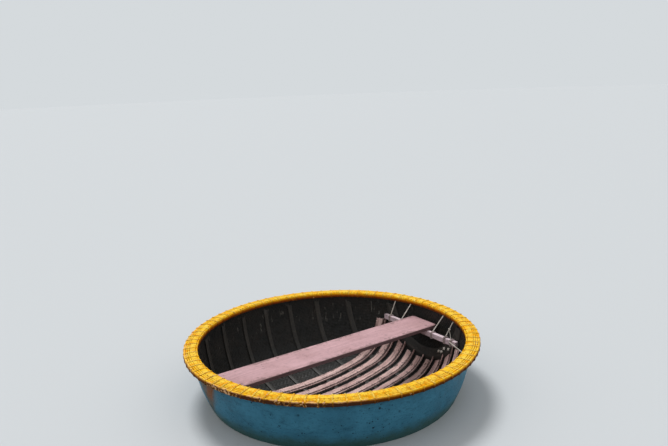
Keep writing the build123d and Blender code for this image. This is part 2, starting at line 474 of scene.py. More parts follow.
class Shade:
    """Adds nodes to one shader tree and links them."""

    def __init__(self, tree: bpy.types.NodeTree) -> None:
        """Work on a tree."""
        self.tree = tree

    def fill(self, inputs: Any, values: dict[Any, Any]) -> None:
        """Link or set inputs.

        Args:
            inputs: A node's inputs.
            values: What each gets, by its name or number: a socket, a number, a place or a colour.
        """
        for key, value in values.items():
            if isinstance(value, bpy.types.NodeSocket):
                self.tree.links.new(value, inputs[key])
            else:
                opaque = inputs[key].type == "RGBA"
                inputs[key].default_value = (*value, 1.0) if opaque else value

    def node(self, kind: str, values: dict[Any, Any] | None = None, **settings: Any) -> Any:
        """Add a node.

        Args:
            kind: The node's type without its ShaderNode in front.
            values: What each input gets, by its name or number.
            settings: The node's own settings.

        Returns:
            The node.
        """
        node = self.tree.nodes.new("ShaderNode" + kind)
        for key, value in settings.items():
            setattr(node, key, value)
        self.fill(node.inputs, values or {})
        return node

    def math(self, operation: str, first: Any, second: Any = 0.0) -> Any:
        """One sum of two numbers."""
        return self.node("Math", {0: first, 1: second}, operation=operation).outputs[0]

    def plus(self, first: Any, second: Any) -> Any:
        """Two numbers added."""
        return self.math("ADD", first, second)

    def minus(self, first: Any, second: Any) -> Any:
        """The first number less the second."""
        return self.math("SUBTRACT", first, second)

    def times(self, first: Any, second: Any) -> Any:
        """The product of two numbers."""
        return self.math("MULTIPLY", first, second)

    def either(self, first: Any, second: Any) -> Any:
        """The larger of two masks."""
        return self.math("MAXIMUM", first, second)

    def apart(self, first: Any, second: Any) -> Any:
        """How far two numbers are apart."""
        return self.math("ABSOLUTE", self.minus(first, second))

    def band(self, value: Any, low: float, high: float, start: float = 0.0, end: float = 1.0) -> Any:
        """Go smoothly from start, where the value is low, to end, where it is high."""
        values = {"Value": value, "From Min": low, "From Max": high, "To Min": start, "To Max": end}
        return self.node("MapRange", values, interpolation_type="SMOOTHSTEP", clamp=True).outputs[0]

    def fade(self, value: Any, low: float, high: float) -> Any:
        """A mask that falls smoothly from 1, where the value is low, to 0, where it is high."""
        return self.band(value, low, high, 1.0, 0.0)

    def mix(self, mask: Any, first: Any, second: Any) -> Any:
        """The first colour where the mask is 0 and the second where it is 1."""
        values = {0: mask, 6: first, 7: second}
        return self.node("Mix", values, data_type="RGBA", clamp_factor=True).outputs[2]

    def laid(self, colour: Any, *layers: tuple[Any, float, Any]) -> Any:
        """Lay tints over a colour, one after another.

        Args:
            colour: The colour below.
            layers: For each tint the mask of where it lies, how much of it, and the tint.

        Returns:
            The colour that shows.
        """
        for mask, share, tint in layers:
            colour = self.mix(mask if share == 1.0 else self.times(mask, share), colour, tint)
        return colour

    def darker(self, colour: Any, mask: Any, least: float) -> Any:
        """A colour times a number that falls from 1 where the mask is 0 to least where it is 1."""
        depth = self.band(mask, 0.0, 1.0, 1.0, least)
        return self.node("VectorMath", {0: colour, 1: depth}, operation="MULTIPLY").outputs[0]

    def noise(self, place: Any, scale: float, detail: float = 3.0, uneven: float = 0.5) -> Any:
        """Cloudy noise at a place, with lumps about one part in scale of a metre."""
        values = {"Vector": place, "Scale": scale, "Detail": detail, "Roughness": uneven}
        return self.node("TexNoise", values).outputs["Fac"]

    def drift(self, place: Any, scale: float, detail: float, reach: float) -> Any:
        """Noise about 0, as far as half its reach to either side."""
        return self.times(self.minus(self.noise(place, scale, detail), 0.5), reach)

    def parts(self, place: Any) -> Any:
        """The three numbers of a place."""
        return self.node("SeparateXYZ", {0: place}).outputs

    def joined(self, *numbers: Any) -> Any:
        """The place that three numbers make."""
        return self.node("CombineXYZ", dict(enumerate(numbers))).outputs[0]

    def scaled(self, place: Any, scale: tuple[float, float, float]) -> Any:
        """A place with its three numbers scaled each by its own."""
        return self.node("Mapping", {"Vector": place, "Scale": scale}).outputs[0]

    def toward(self, place: Any, direction: tuple[float, float, float]) -> Any:
        """How far a place lies along a direction."""
        node = self.node("VectorMath", {0: place, 1: direction}, operation="DOT_PRODUCT")
        return node.outputs["Value"]

    def bump(self, height: Any, depth: float, strength: float = 1.0, under: Any = None) -> Any:
        """A normal from a height between 0 and 1 that stands for a depth, over another normal."""
        values = {"Height": height, "Distance": depth, "Strength": strength}
        return self.node("Bump", values | ({} if under is None else {"Normal": under})).outputs[0]

    def group(self, build: Callable[[], bpy.types.NodeTree], **values: Any) -> Any:
        """Place a shared node group and give its outputs."""
        return self.node("Group", values, node_tree=build()).outputs

    def object_place(self) -> Any:
        """Places in the object's own metres."""
        return self.node("TexCoord").outputs["Object"]

    def surface_place(self) -> Any:
        """Places on the piece's own UV map, in metres."""
        return self.node("UVMap", uv_map="UVMap").outputs[0]

    def value_at(self, name: str) -> Any:
        """A value that the mesh holds at its points."""
        return self.node("Attribute", attribute_name=name).outputs["Fac"]

    def seen_directly(self) -> Any:
        """A mask of what the eye sees, straight or in metal and glass."""
        path = self.node("LightPath").outputs
        mirrored = self.either(path["Is Glossy Ray"], path["Is Transmission Ray"])
        return self.either(path["Is Camera Ray"], mirrored)


def shared(**inputs: float | None) -> Callable[..., Callable[[], bpy.types.NodeTree]]:
    """Make a function that fills a node group into one that gives the group, built once.

    Args:
        inputs: Each input's name with its first value, or None for a place.

    Returns:
        What makes the one function into the other.
    """

    def wrap(fill: Callable[[Shade, Any], dict[str, Any]]) -> Callable[[], bpy.types.NodeTree]:
        """Wrap the function that fills the group."""

        @functools.cache
        def build() -> bpy.types.NodeTree:
            """Build the group when it is first used."""
            tree = bpy.data.node_groups.new(fill.__name__, "ShaderNodeTree")
            for label, value in inputs.items():
                kind = "NodeSocketVector" if value is None else "NodeSocketFloat"
                socket = tree.interface.new_socket(label, in_out="INPUT", socket_type=kind)
                if value is not None:
                    socket.default_value = value
            shade = Shade(tree)
            results = fill(shade, tree.nodes.new("NodeGroupInput").outputs)
            for label in results:
                tree.interface.new_socket(label, in_out="OUTPUT", socket_type="NodeSocketFloat")
            shade.fill(tree.nodes.new("NodeGroupOutput").inputs, results)
            return tree

        return build

    return wrap


@shared(Place=None, Length=0.2, Width=0.002, Seed=0.0)
def fibre_grain(shade: Shade, source: Any) -> dict[str, Any]:
    """Long streaks along the first axis of a surface, as split bamboo and sawn wood have.

    Args:
        shade: The group's shade.
        source: The group's inputs.

    Returns:
        The group's outputs.
    """
    parts = shade.parts(source["Place"])
    along = shade.math("DIVIDE", parts[0], source["Length"])
    across = shade.math("DIVIDE", parts[1], source["Width"])
    place = shade.joined(along, across, shade.plus(parts[2], source["Seed"]))
    streak = shade.noise(shade.scaled(place, (1.0, 0.22, 1.0)), 1.0, 3.0, 0.6)
    fine = shade.noise(place, 1.0, 2.0, 0.55)
    return {"Streak": shade.band(streak, 0.3, 0.7), "Fine": shade.band(fine, 0.25, 0.75)}


@shared(Place=None, Edge=0.0, Scale=40.0, Amount=0.3)
def worn_patches(shade: Shade, source: Any) -> dict[str, Any]:
    """Where paint has come off: at edges, in patches that a cloudy noise breaks up.

    Args:
        shade: The group's shade.
        source: The group's inputs.

    Returns:
        The group's outputs.
    """
    cloud = shade.noise(source["Place"], source["Scale"], 5.0, 0.62)
    patch = shade.noise(source["Place"], shade.times(source["Scale"], 0.22), 2.0)
    clouds = shade.plus(shade.times(cloud, 0.6), shade.times(patch, 0.4))
    pull = shade.plus(shade.times(source["Edge"], 0.16), shade.times(source["Amount"], 0.3))
    level = shade.plus(clouds, pull)
    return {"Mask": shade.band(level, 0.655, 0.685), "Rim": shade.band(level, 0.60, 0.67)}


@shared(Place=None, Scale=8.0, Amount=0.5)
def grime_clouds(shade: Shade, source: Any) -> dict[str, Any]:
    """Dirt and dust: a broad cloud and a fine one, between 0 and 1.

    Args:
        shade: The group's shade.
        source: The group's inputs.

    Returns:
        The group's outputs.
    """
    broad = shade.noise(source["Place"], source["Scale"], 4.0, 0.6)
    fine = shade.noise(source["Place"], shade.times(source["Scale"], 9.0), 3.0, 0.6)
    return {
        "Broad": shade.times(shade.band(broad, 0.35, 0.7), source["Amount"]),
        "Fine": shade.times(shade.band(fine, 0.42, 0.72), source["Amount"]),
    }


@shared(Place=None, Scale=40.0, Size=0.2)
def round_specks(shade: Shade, source: Any) -> dict[str, Any]:
    """Small round specks, scattered unevenly, each of its own size.

    Args:
        shade: The group's shade.
        source: The group's inputs.

    Returns:
        The group's outputs.
    """
    values = {"Vector": source["Place"], "Scale": source["Scale"], "Randomness": 1.0}
    cells = shade.node("TexVoronoi", values).outputs
    chance = shade.node("SeparateColor", {0: cells["Color"]}).outputs[0]
    size = shade.times(shade.math("POWER", chance, 3.0), source["Size"])
    return {"Mask": shade.band(shade.minus(size, cells["Distance"]), 0.0, 0.06)}


@shared(Place=None)
def round_axis(shade: Shade, source: Any) -> dict[str, Any]:
    """How far a place is from the upright axis, its angle round that axis, and its height.

    Args:
        shade: The group's shade.
        source: The group's inputs.

    Returns:
        The group's outputs.
    """
    parts = shade.parts(source["Place"])
    radius = shade.math("SQRT", shade.plus(*(shade.times(part, part) for part in parts[:2])))
    return {"Radius": radius, "Angle": shade.math("ARCTAN2", parts[1], parts[0]), "Height": parts[2]}


@shared(
    Around=0.0, Away=0.0, Radius=0.95, Pitch=0.025, Length=0.01, Width=0.004, Shift=0.0, Missing=0.4
)
def stitch_row(shade: Shade, source: Any) -> dict[str, Any]:
    """A row of short dark dashes round the upright axis, one in each pitch, some missing.

    Args:
        shade: The group's shade.
        source: The group's inputs.

    Returns:
        The group's outputs.
    """
    length = shade.times(source["Around"], source["Radius"])
    along = shade.plus(shade.math("DIVIDE", length, source["Pitch"]), source["Shift"])
    along = shade.plus(along, 500.0)
    number = shade.math("FLOOR", along)
    chance = shade.node("TexWhiteNoise", {"W": number}, noise_dimensions="1D").outputs
    shifted = shade.times(shade.minus(chance["Value"], 0.5), 0.35)
    off = shade.apart(shade.minus(shade.math("FRACT", along), shifted), 0.5)
    past = shade.minus(shade.times(off, source["Pitch"]), shade.times(source["Length"], 0.5))
    away = shade.apart(source["Away"], source["Radius"])
    beside = shade.minus(away, shade.times(source["Width"], 0.5))
    inside, across = (shade.fade(value, -0.0010, 0.0006) for value in (past, beside))
    red = shade.node("SeparateColor", {0: chance["Color"]}).outputs[0]
    there = shade.math("GREATER_THAN", red, source["Missing"])
    return {"Mask": shade.times(shade.times(inside, across), there)}


@shared(Place=None, Width=0.05)
def paint_plates(shade: Shade, source: Any) -> dict[str, Any]:
    """Brushed paint that has cracked to small plates: the cracks, and a number for each plate.

    Args:
        shade: The group's shade.
        source: The group's inputs.

    Returns:
        The group's outputs.
    """
    values = {"Vector": source["Place"], "Scale": 1.0, "Randomness": 1.0}
    edge = shade.node("TexVoronoi", values, feature="DISTANCE_TO_EDGE").outputs["Distance"]
    cells = shade.node("TexVoronoi", values).outputs["Color"]
    plate = shade.node("SeparateColor", {0: cells}).outputs[0]
    return {"Crack": shade.fade(shade.minus(edge, source["Width"]), 0.0, 0.06), "Plate": plate}


@shared(Place=None, Strip=WEAVE_STRIP)
def twill_weave(shade: Shade, source: Any) -> dict[str, Any]:
    """A two-over-two weave of flat strips on the first two axes of a surface.

    A strip along the first axis is on top where the sum of the strips' numbers, left over
    from 4, is under 2. Its height falls off towards its edges.

    Args:
        shade: The group's shade.
        source: The group's inputs.

    Returns:
        The group's outputs.
    """
    across = [shade.math("DIVIDE", part, source["Strip"]) for part in shade.parts(source["Place"])[:2]]
    numbers = [shade.math("FLOOR", value) for value in across]
    left_over = shade.math("FLOORED_MODULO", shade.plus(*numbers), 4.0)
    over = shade.math("LESS_THAN", left_over, 1.5)
    edges = [shade.fade(shade.apart(shade.math("FRACT", value), 0.5), 0.36, 0.5) for value in across]
    flat = shade.node("Mix", {0: over, 2: edges[0], 3: edges[1]}, data_type="FLOAT").outputs[0]
    return {"Height": flat, "Gap": shade.minus(1.0, flat), "Over": over}


@dataclass(frozen=True)
class Finish:
    """A material with a name. Each kind of it says what its Principled shader gets."""

    name: str

    def inputs(self, shade: Shade) -> dict[str, Any]:
        """Work out the shader's inputs.

        Args:
            shade: The shade of the material.

        Returns:
            What each input gets: a socket or a value.
        """
        raise NotImplementedError

    def material(self) -> bpy.types.Material:
        """Build the material.

        Returns:
            The material, with a Principled shader.
        """
        material = bpy.data.materials.new(self.name)
        material.use_nodes = True
        shade = Shade(material.node_tree)
        shader = material.node_tree.nodes["Principled BSDF"]
        shade.fill(shader.inputs, self.inputs(shade))
        return material


@dataclass(frozen=True)
class HullPaint(Finish):
    """Turquoise boat paint over resin, mottled, speckled, scratched and stained by the water."""

    name: str = "hull_paint"
    paint: Colour = (0.058, 0.232, 0.350)
    pale: Colour = (0.075, 0.282, 0.415)
    deep: Colour = (0.041, 0.169, 0.252)
    speck: Colour = (0.010, 0.022, 0.030)
    speck_sizes: tuple[tuple[float, float], ...] = ((26.0, 0.24), (62.0, 0.34), (110.0, 0.36))
    algae: Colour = (0.045, 0.105, 0.070)
    tar: Colour = (0.016, 0.018, 0.015)
    drip: Colour = (0.200, 0.062, 0.005)
    rust: Colour = (0.098, 0.066, 0.028)
    # The colour of the painted shadow that the rim throws on the skin just below it.
    under_rim_shadow: Colour = (0.030, 0.038, 0.040)
    waterline_band: float = 0.075
    drip_angle: float = math.radians(215.5)
    drip_level: float = 0.25
    drip_lean: float = 0.6
    near_left: tuple[float, float, float] = (-0.62, -0.78, 0.0)
    sheen: float = 0.42

    def drips(self, shade: Shade, place: Any) -> tuple[Any, Any]:
        """One stain below the rim, which leans with the wall and gets narrower downwards.

        Args:
            shade: The shade of the material.
            place: Places in the object's metres.

        Returns:
            Two masks: of spilt rim paint, and of the dirt that ran with it.
        """
        parts = shade.parts(place)
        angle = shade.math("ARCTAN2", parts[1], parts[0])
        target = (self.drip_angle + math.pi) % FULL_TURN - math.pi
        lean = shade.times(shade.minus(parts[2], self.drip_level), self.drip_lean)
        aside = shade.minus(shade.minus(angle, target), lean)
        wobble = shade.times(shade.noise(shade.scaled(place, (1.0, 1.0, 0.35)), 42.0, 2.0), 0.04)
        off = shade.plus(shade.math("ABSOLUTE", aside), wobble)
        high = shade.times(shade.band(parts[2], 0.15, 0.21), shade.band(parts[2], 0.27, 0.33, 1.0, 0.4))
        paint = shade.times(shade.fade(off, 0.050, 0.085), high)
        left = shade.plus(aside, shade.band(parts[2], 0.12, 0.30, 0.0, 0.075))
        off = shade.plus(shade.math("ABSOLUTE", left), wobble)
        narrow = shade.math("DIVIDE", off, shade.band(parts[2], 0.08, 0.30, 0.75, 1.7))
        return paint, shade.times(shade.fade(narrow, 0.050, 0.135), shade.band(parts[2], 0.02, 0.12))

    def specks(self, shade: Shade, place: Any) -> Any:
        """A mask of dark specks of three sizes, in crowds.

        Args:
            shade: The shade of the material.
            place: Places in the object's metres.

        Returns:
            The mask.
        """
        large, middle, small = (
            shade.group(round_specks, Place=place, Scale=scale, Size=size)["Mask"]
            for scale, size in self.speck_sizes
        )
        crowd = shade.band(shade.noise(place, 6.5, 2.0), 0.40, 0.62, 0.25, 1.0)
        return shade.times(shade.either(small, shade.either(middle, large)), crowd)

    def scuffs(self, shade: Shade, place: Any, height: Any, mottle: Any) -> Any:
        """A mask of level scratches, with more of them at the near left above the waterline.

        Args:
            shade: The shade of the material.
            place: Places in the object's metres.
            height: Their heights.
            mottle: The noise of the paint's mottling.

        Returns:
            The mask.
        """
        scratch = shade.noise(shade.scaled(place, (3.0, 3.0, 24.0)), 9.0, 2.0, 0.5)
        knocked = shade.times(shade.band(shade.toward(place, self.near_left), 0.70, 0.88), 0.055)
        knocked = shade.times(knocked, shade.fade(height, 0.06, 0.15))
        scratch = shade.plus(scratch, knocked)
        return shade.times(shade.band(scratch, 0.67, 0.72), shade.band(mottle, 0.46, 0.60))

    def inputs(self, shade: Shade) -> dict[str, Any]:
        """Mottled and brushed paint, its stains and the rim's painted shadow in their order, and a
        shallow weave under it.
        """
        place = shade.object_place()
        height = shade.parts(place)[2]
        mottle = shade.noise(place, 9.0, 6.0, 0.66)
        brush = shade.noise(shade.scaled(place, (1.0, 1.0, 2.6)), 26.0, 4.0, 0.6)
        colour = shade.mix(shade.band(mottle, 0.34, 0.66), self.paint, self.pale)
        colour = shade.mix(shade.band(brush, 0.48, 0.76), colour, self.deep)
        grime = shade.group(grime_clouds, Place=place, Scale=5.0, Amount=0.75)
        specks = self.specks(shade, place)
        paint, dirt = self.drips(shade, place)
        level = shade.minus(height, shade.times(shade.noise(place, 14.0, 4.0, 0.6), 0.09))
        colour = shade.laid(
            shade.darker(colour, grime["Broad"], 0.72),
            (self.scuffs(shade, place, height, mottle), 0.75, self.speck),
            (specks, 0.85, self.speck),
            (dirt, 0.85, self.rust),
            (paint, 1.0, self.drip),
            (shade.fade(level, -0.02, self.waterline_band), 0.78, self.algae),
            # Painted shadow of the rim: a dark band just below it.
            (shade.band(level, 0.245, 0.290), 0.62, self.under_rim_shadow),
            (shade.fade(level, -0.11, -0.06), 1.0, self.tar),
        )
        weave = shade.bump(shade.group(twill_weave, Place=shade.surface_place())["Height"], 0.0007, 0.55)
        skin = shade.bump(shade.noise(place, 60.0, 4.0, 0.6), 0.0006, 0.7, weave)
        rough = shade.band(shade.plus(mottle, specks), 0.3, 0.9, self.sheen, 0.72)
        return {"Base Color": colour, "Roughness": rough, "Normal": skin, "Specular IOR Level": 0.13}


@dataclass(frozen=True)
class TarredWeave(Finish):
    """Woven split bamboo, darkened by resin, with brown worn through on the tops of the strips."""

    name: str = "tarred_weave"
    tar: Colour = (0.005, 0.006, 0.005)
    strip: Colour = (0.012, 0.012, 0.0105)
    worn: Colour = (0.038, 0.029, 0.022)
    dust: Colour = (0.048, 0.043, 0.038)
    # The colour of the painted highlights on the upper wall's strands.
    streak: Colour = (0.140, 0.135, 0.118)

    def light_streaks(self, shade: Shade, place: Any, height: Any) -> Any:
        """A mask of pale upright streaks on the upper wall: painted highlights where the strands catch
        the light.

        Args:
            shade: The shade of the material.
            place: Places in the object's metres.
            height: Their heights.

        Returns:
            The mask.
        """
        cloud = shade.noise(shade.scaled(place, (1.0, 1.0, 0.13)), 52.0, 2.0, 0.5)
        there = shade.times(shade.band(height, 0.10, 0.20), shade.fade(height, 0.30, 0.34))
        broken = shade.band(shade.noise(place, 11.0, 2.0), 0.42, 0.56)
        return shade.times(shade.band(cloud, 0.60, 0.70), shade.times(there, broken))

    def inputs(self, shade: Shade) -> dict[str, Any]:
        """Resin over grain that follows each strip, worn on top, with dust low down."""
        place, surface = shade.object_place(), shade.surface_place()
        twill = shade.group(twill_weave, Place=surface)
        parts = shade.parts(surface)
        values = {0: twill["Over"], 4: surface, 5: shade.joined(parts[1], parts[0], parts[2])}
        along = shade.node("Mix", values, data_type="VECTOR").outputs[1]
        grain = shade.group(fibre_grain, Place=along, Length=0.05, Width=0.0022)
        grime = shade.group(grime_clouds, Place=place, Scale=4.5, Amount=1.0)
        top = shade.times(twill["Height"], grime["Broad"])
        height = shade.parts(place)[2]
        colour = shade.laid(
            shade.mix(grain["Streak"], self.tar, self.strip),
            (shade.times(top, grain["Fine"]), 0.75, self.worn),
            (shade.times(grime["Fine"], shade.fade(height, -0.2, 0.12)), 0.5, self.dust),
            # Painted highlights: pale upright streaks on the upper wall.
            (self.light_streaks(shade, place, height), 0.8, self.streak),
            (twill["Gap"], 0.85, self.tar),
        )
        fibre = shade.bump(grain["Fine"], 0.0004, 0.6, shade.bump(twill["Height"], 0.0012, 0.8))
        rough = shade.band(grime["Fine"], 0.0, 1.0, 0.42, 0.75)
        return {"Base Color": colour, "Roughness": rough, "Normal": fibre, "Specular IOR Level": 0.30}


@dataclass(frozen=True)
class StitchRow:
    """A row of dark dashes on top of the rim: where it lies and how its dashes measure."""

    radius: float
    pitch: float
    length: float
    width: float
    shift: float = 0.0
    missing: float = 0.3
    strength: float = 0.7


@dataclass(frozen=True)
class RimPaint(Finish):
    """Yellow paint, brushed thickly over split bamboo and its lashings, with painted shade, orange to
    dark brown, down its sides.
    """

    top: Colour = (1.0, 0.555, 0.005)
    # A paler yellow, and painted highlight on the brushed coat.
    bright_and_highlight: Colour = (1.0, 0.72, 0.080)
    ochre: Colour = (0.95, 0.400, 0.002)
    peach: Colour = (1.0, 0.60, 0.27)
    # amber, side, brown and low: bands of painted shade, each darker than the last, down the rim's side
    amber: Colour = (0.96, 0.42, 0.006)
    side: Colour = (0.60, 0.185, 0.004)
    brown: Colour = (0.19, 0.046, 0.002)
    low: Colour = (0.085, 0.030, 0.004)
    seam: Colour = (0.34, 0.115, 0.002)
    bare: Colour = (0.86, 0.52, 0.28)
    # This dark colour serves both the dark spots in bare patches and the painted shade low on the side
    # away from the light.
    dark_wear_and_shade: Colour = (0.075, 0.030, 0.020)
    amber_drop: float = 0.0085
    side_drop: float = 0.0130
    brown_drop: float = 0.0178
    low_drop: float = 0.0240
    # How much peach the outer shoulder gets: painted highlight and faded paint.
    peach_share: float = 0.0
    tone_share: float = 0.10
    worn: float = 0.0
    worn_more: float = 0.12
    # How much painted shade and dirt the grooves get.
    groove: float = 0.26
    plate_size: tuple[float, float] = (0.0170, 0.0240)
    crack_share: float = 0.56
    lashing_pitch: float = FULL_TURN / LASHING_COUNT
    lashing_middle: float = 0.0045
    lashing_line: float = 0.0058
    # How dark the painted shadow and dirt beside each lashing are.
    line_share: float = 0.30
    # How much painted shade each cell between two lashings gets towards the next.
    cell_shade_share: float = 0.20
    rim_top: float = 0.378
    near_left: tuple[float, float, float] = (-0.80, -0.60, 0.0)
    # The direction of the side away from the light, whose painted shade is darkest.
    shaded_toward: tuple[float, float, float] = (-0.31, -0.95, 0.0)
    has_chart: bool = True
    rows: tuple[StitchRow, ...] = (
        StitchRow(0.9582, 0.0240, 0.0110, 0.0032, 0.0, 0.25, 0.80),
        StitchRow(0.9712, 0.0240, 0.0120, 0.0028, 0.5, 0.35, 0.70),
        StitchRow(0.9180, 0.0235, 0.0080, 0.0036, 0.2, 0.20, 0.80),
        StitchRow(0.9720, 0.0275, 0.0026, 0.0180, 0.3, 0.40, 0.50),
        StitchRow(0.9480, 0.0262, 0.0018, 0.0560, 0.1, 0.45, 0.36),
    )

    def place_in_cell(self, shade: Shade, angle: Any) -> Any:
        """How far an angle lies from one lashing to the next, from 0 to 1."""
        along = shade.math("DIVIDE", angle, self.lashing_pitch)
        return shade.math("FRACT", shade.plus(along, 1000.0))

    def beside_lashings(self, shade: Shade, place: Any, angle: Any, radius: Any) -> Any:
        """A mask of the dark line on one side of each lashing: the lashing's painted shadow, and dirt.

        Args:
            shade: The shade of the material.
            place: Places in the object's metres.
            angle: Their angles round the upright axis, made a little uneven.
            radius: Their distances from that axis.

        Returns:
            The mask.
        """
        away = shade.times(self.place_in_cell(shade, angle), self.lashing_pitch)
        away = shade.minus(shade.times(away, radius), self.lashing_middle)
        line = shade.fade(shade.apart(away, self.lashing_line), 0.0006, 0.0022)
        return shade.times(line, shade.band(shade.noise(place, 21.0, 2.0), 0.36, 0.56))

    def dashes(self, shade: Shade, angle: Any, around: Any) -> Any:
        """A mask of all the rows of dashes, on top of the rim only.

        Args:
            shade: The shade of the material.
            angle: Angles round the upright axis, made a little uneven.
            around: Distance, angle and height of the places.

        Returns:
            The mask.
        """
        masks = []
        for row in self.rows:
            size = {"Radius": row.radius, "Pitch": row.pitch, "Length": row.length, "Width": row.width}
            size |= {"Shift": row.shift, "Missing": row.missing}
            made = shade.group(stitch_row, Around=angle, Away=around["Radius"], **size)
            masks.append(shade.times(made["Mask"], row.strength))
        high = shade.band(around["Height"], self.rim_top - 0.009, self.rim_top - 0.004)
        return shade.times(functools.reduce(shade.either, masks), high)

    def coat(self, shade: Shade, place: Any, around: Any) -> Any:
        """The top's colours: plain, and brighter in clouds and plates, which is partly painted highlight;
        stained in spots; and painted shade towards each lashing.

        Args:
            shade: The shade of the material.
            place: Places in the object's metres.
            around: Their distance, angle and height.

        Returns:
            The colour.
        """
        cloud = shade.noise(place, 13.0, 4.0, 0.62)
        fade = shade.plus(cloud, shade.times(shade.value_at("tone"), self.tone_share))
        along = shade.times(around["Angle"], 0.95 / self.plate_size[0])
        across = shade.minus(around["Radius"], around["Height"])
        across = shade.times(across, 1.0 / self.plate_size[1])
        spot = shade.joined(along, across, shade.times(shade.noise(place, 60.0, 2.0), 1.2))
        plates = shade.group(paint_plates, Place=spot, Width=0.03)
        stain = shade.band(shade.noise(place, 31.0, 5.0, 0.65), 0.52, 0.74)
        deep = shade.band(plates["Plate"], 0.0, 0.36, 0.80, 0.0)
        broken = shade.band(shade.noise(place, 24.0, 3.0), 0.36, 0.54)
        cell = self.place_in_cell(shade, around["Angle"])
        return shade.laid(
            # Brighter clouds and plates: paler paint, and painted highlight.
            shade.mix(shade.band(fade, 0.40, 0.72), self.top, self.bright_and_highlight),
            (shade.band(plates["Plate"], 0.45, 1.0, 0.0, 0.75), 1.0, self.bright_and_highlight),
            (shade.either(deep, shade.times(stain, 0.3)), 1.0, self.ochre),
            (shade.times(plates["Crack"], broken), self.crack_share, self.seam),
            # Painted shade: each cell darkens to ochre towards the next lashing, like a rounded cushion
            # lit from one side.
            (shade.band(cell, 0.35, 1.0, 0.0, self.cell_shade_share), 1.0, self.ochre),
        )

    def down_the_side(self, shade: Shade, colour: Any, level: Any, darker: Any) -> Any:
        """Paint shade down the side: turn the top's colour to orange, brown and dark brown as the side
        falls away from the light.

        Args:
            shade: The shade of the material.
            colour: The top's colour.
            level: The height, made a little uneven.
            darker: A mask of painted shade on the side away from the light, where the browns start a
                little higher and go darker.

        Returns:
            The colour.
        """
        higher = shade.minus(level, shade.times(darker, 0.0060))
        # Each band is painted shade, a little lower and darker than the one before.
        for drop, reach, tint, burnt in (
            (self.amber_drop, 0.0030, self.amber, 0.0),
            (self.side_drop, 0.0026, self.side, 0.30),
            (self.brown_drop, 0.0034, self.brown, 0.70),
            (self.low_drop, 0.0040, self.low, 0.70),
        ):
            middle = self.rim_top - drop
            mask = shade.fade(higher if burnt else level, middle - reach, middle + reach)
            if burnt:
                # Painted shade: on the side away from the light, the browns turn darker.
                tint = shade.mix(shade.times(darker, burnt), tint, self.dark_wear_and_shade)
            colour = shade.mix(mask, colour, tint)
        return colour

    def shoulder_highlight_and_fade(self, shade: Shade, place: Any, level: Any) -> Any:
        """A mask of the outer edge's long peach patches: painted highlight where its rounding catches the
        light, and paint faded there.

        Args:
            shade: The shade of the material.
            place: Places in the object's metres.
            level: The height, made a little uneven.

        Returns:
            The mask.
        """
        off = shade.apart(level, self.rim_top - self.amber_drop)
        mask = shade.times(shade.fade(off, 0.0015, 0.0045), self.peach_share)
        return shade.times(mask, shade.band(shade.noise(place, 17.0, 3.0), 0.36, 0.58))

    def inputs(self, shade: Shade) -> dict[str, Any]:
        """The coat, painted shade down its sides, its seams and grooves darkened by dirt and painted
        shade, and bare patches where it has come off.
        """
        place = shade.object_place()
        surface = shade.surface_place() if self.has_chart else place
        around = shade.group(round_axis, Place=place)
        toward = shade.toward(place, self.near_left)
        # Painted shade: a mask of the side away from the light.
        darker = shade.band(shade.toward(place, self.shaded_toward), 0.79, 0.92)
        grain = shade.group(fibre_grain, Place=surface, Length=0.09, Width=0.0021)
        colour = shade.laid(self.coat(shade, place, around), (grain["Streak"], 0.12, self.ochre))
        level = shade.plus(around["Height"], shade.drift(place, 48.0, 3.0, 0.011))
        colour = self.down_the_side(shade, colour, level, darker)
        # Painted highlight and faded paint: peach along the outer shoulder, mostly at the near left.
        if self.peach_share:
            highlight_and_fade = shade.times(self.shoulder_highlight_and_fade(shade, place, level), shade.band(toward, 0.15, 0.65))
            colour = shade.mix(highlight_and_fade, colour, self.peach)
        edge = shade.value_at("edge")
        broken = shade.band(shade.noise(place, 38.0, 3.0, 0.6), 0.46, 0.60)
        # Painted shade and dirt in the grooves, where the edge value is high.
        groove = shade.times(shade.band(edge, 0.45, 0.95), self.groove)
        colour = shade.mix(shade.times(groove, broken), colour, self.seam)
        if self.has_chart:
            angle = shade.plus(around["Angle"], shade.drift(place, 34.0, 2.0, 0.006))
            line = self.beside_lashings(shade, place, angle, around["Radius"])
            dashes = self.dashes(shade, angle, around)
            # The line beside each lashing is painted shadow and dirt.
            colour = shade.laid(colour, (line, self.line_share, self.seam), (dashes, 1.0, self.seam))
        amount = shade.band(shade.band(toward, 0.30, 0.98), 0.0, 1.0, self.worn, self.worn_more)
        values = {"Place": place, "Edge": shade.times(edge, 0.2), "Scale": 58.0, "Amount": amount}
        wear = shade.group(worn_patches, **values)
        spots = shade.band(shade.noise(place, 60.0, 2.0), 0.40, 0.55)
        bare = shade.mix(spots, self.dark_wear_and_shade, self.bare)
        colour = shade.laid(colour, (wear["Rim"], 0.3, self.ochre), (wear["Mask"], 1.0, bare))
        grime = shade.group(grime_clouds, Place=place, Scale=11.0, Amount=0.5)
        brushed = shade.bump(grain["Fine"], 0.00035, 0.8)
        lumps = shade.bump(shade.noise(place, 150.0, 3.0), 0.0006, 0.6, brushed)
        return {
            "Base Color": shade.darker(colour, grime["Fine"], 0.94),
            "Roughness": shade.band(wear["Rim"], 0.0, 1.0, 0.46, 0.85),
            "Normal": shade.bump(wear["Mask"], 0.0004, 0.8, lumps),
            "Specular IOR Level": 0.03,
        }


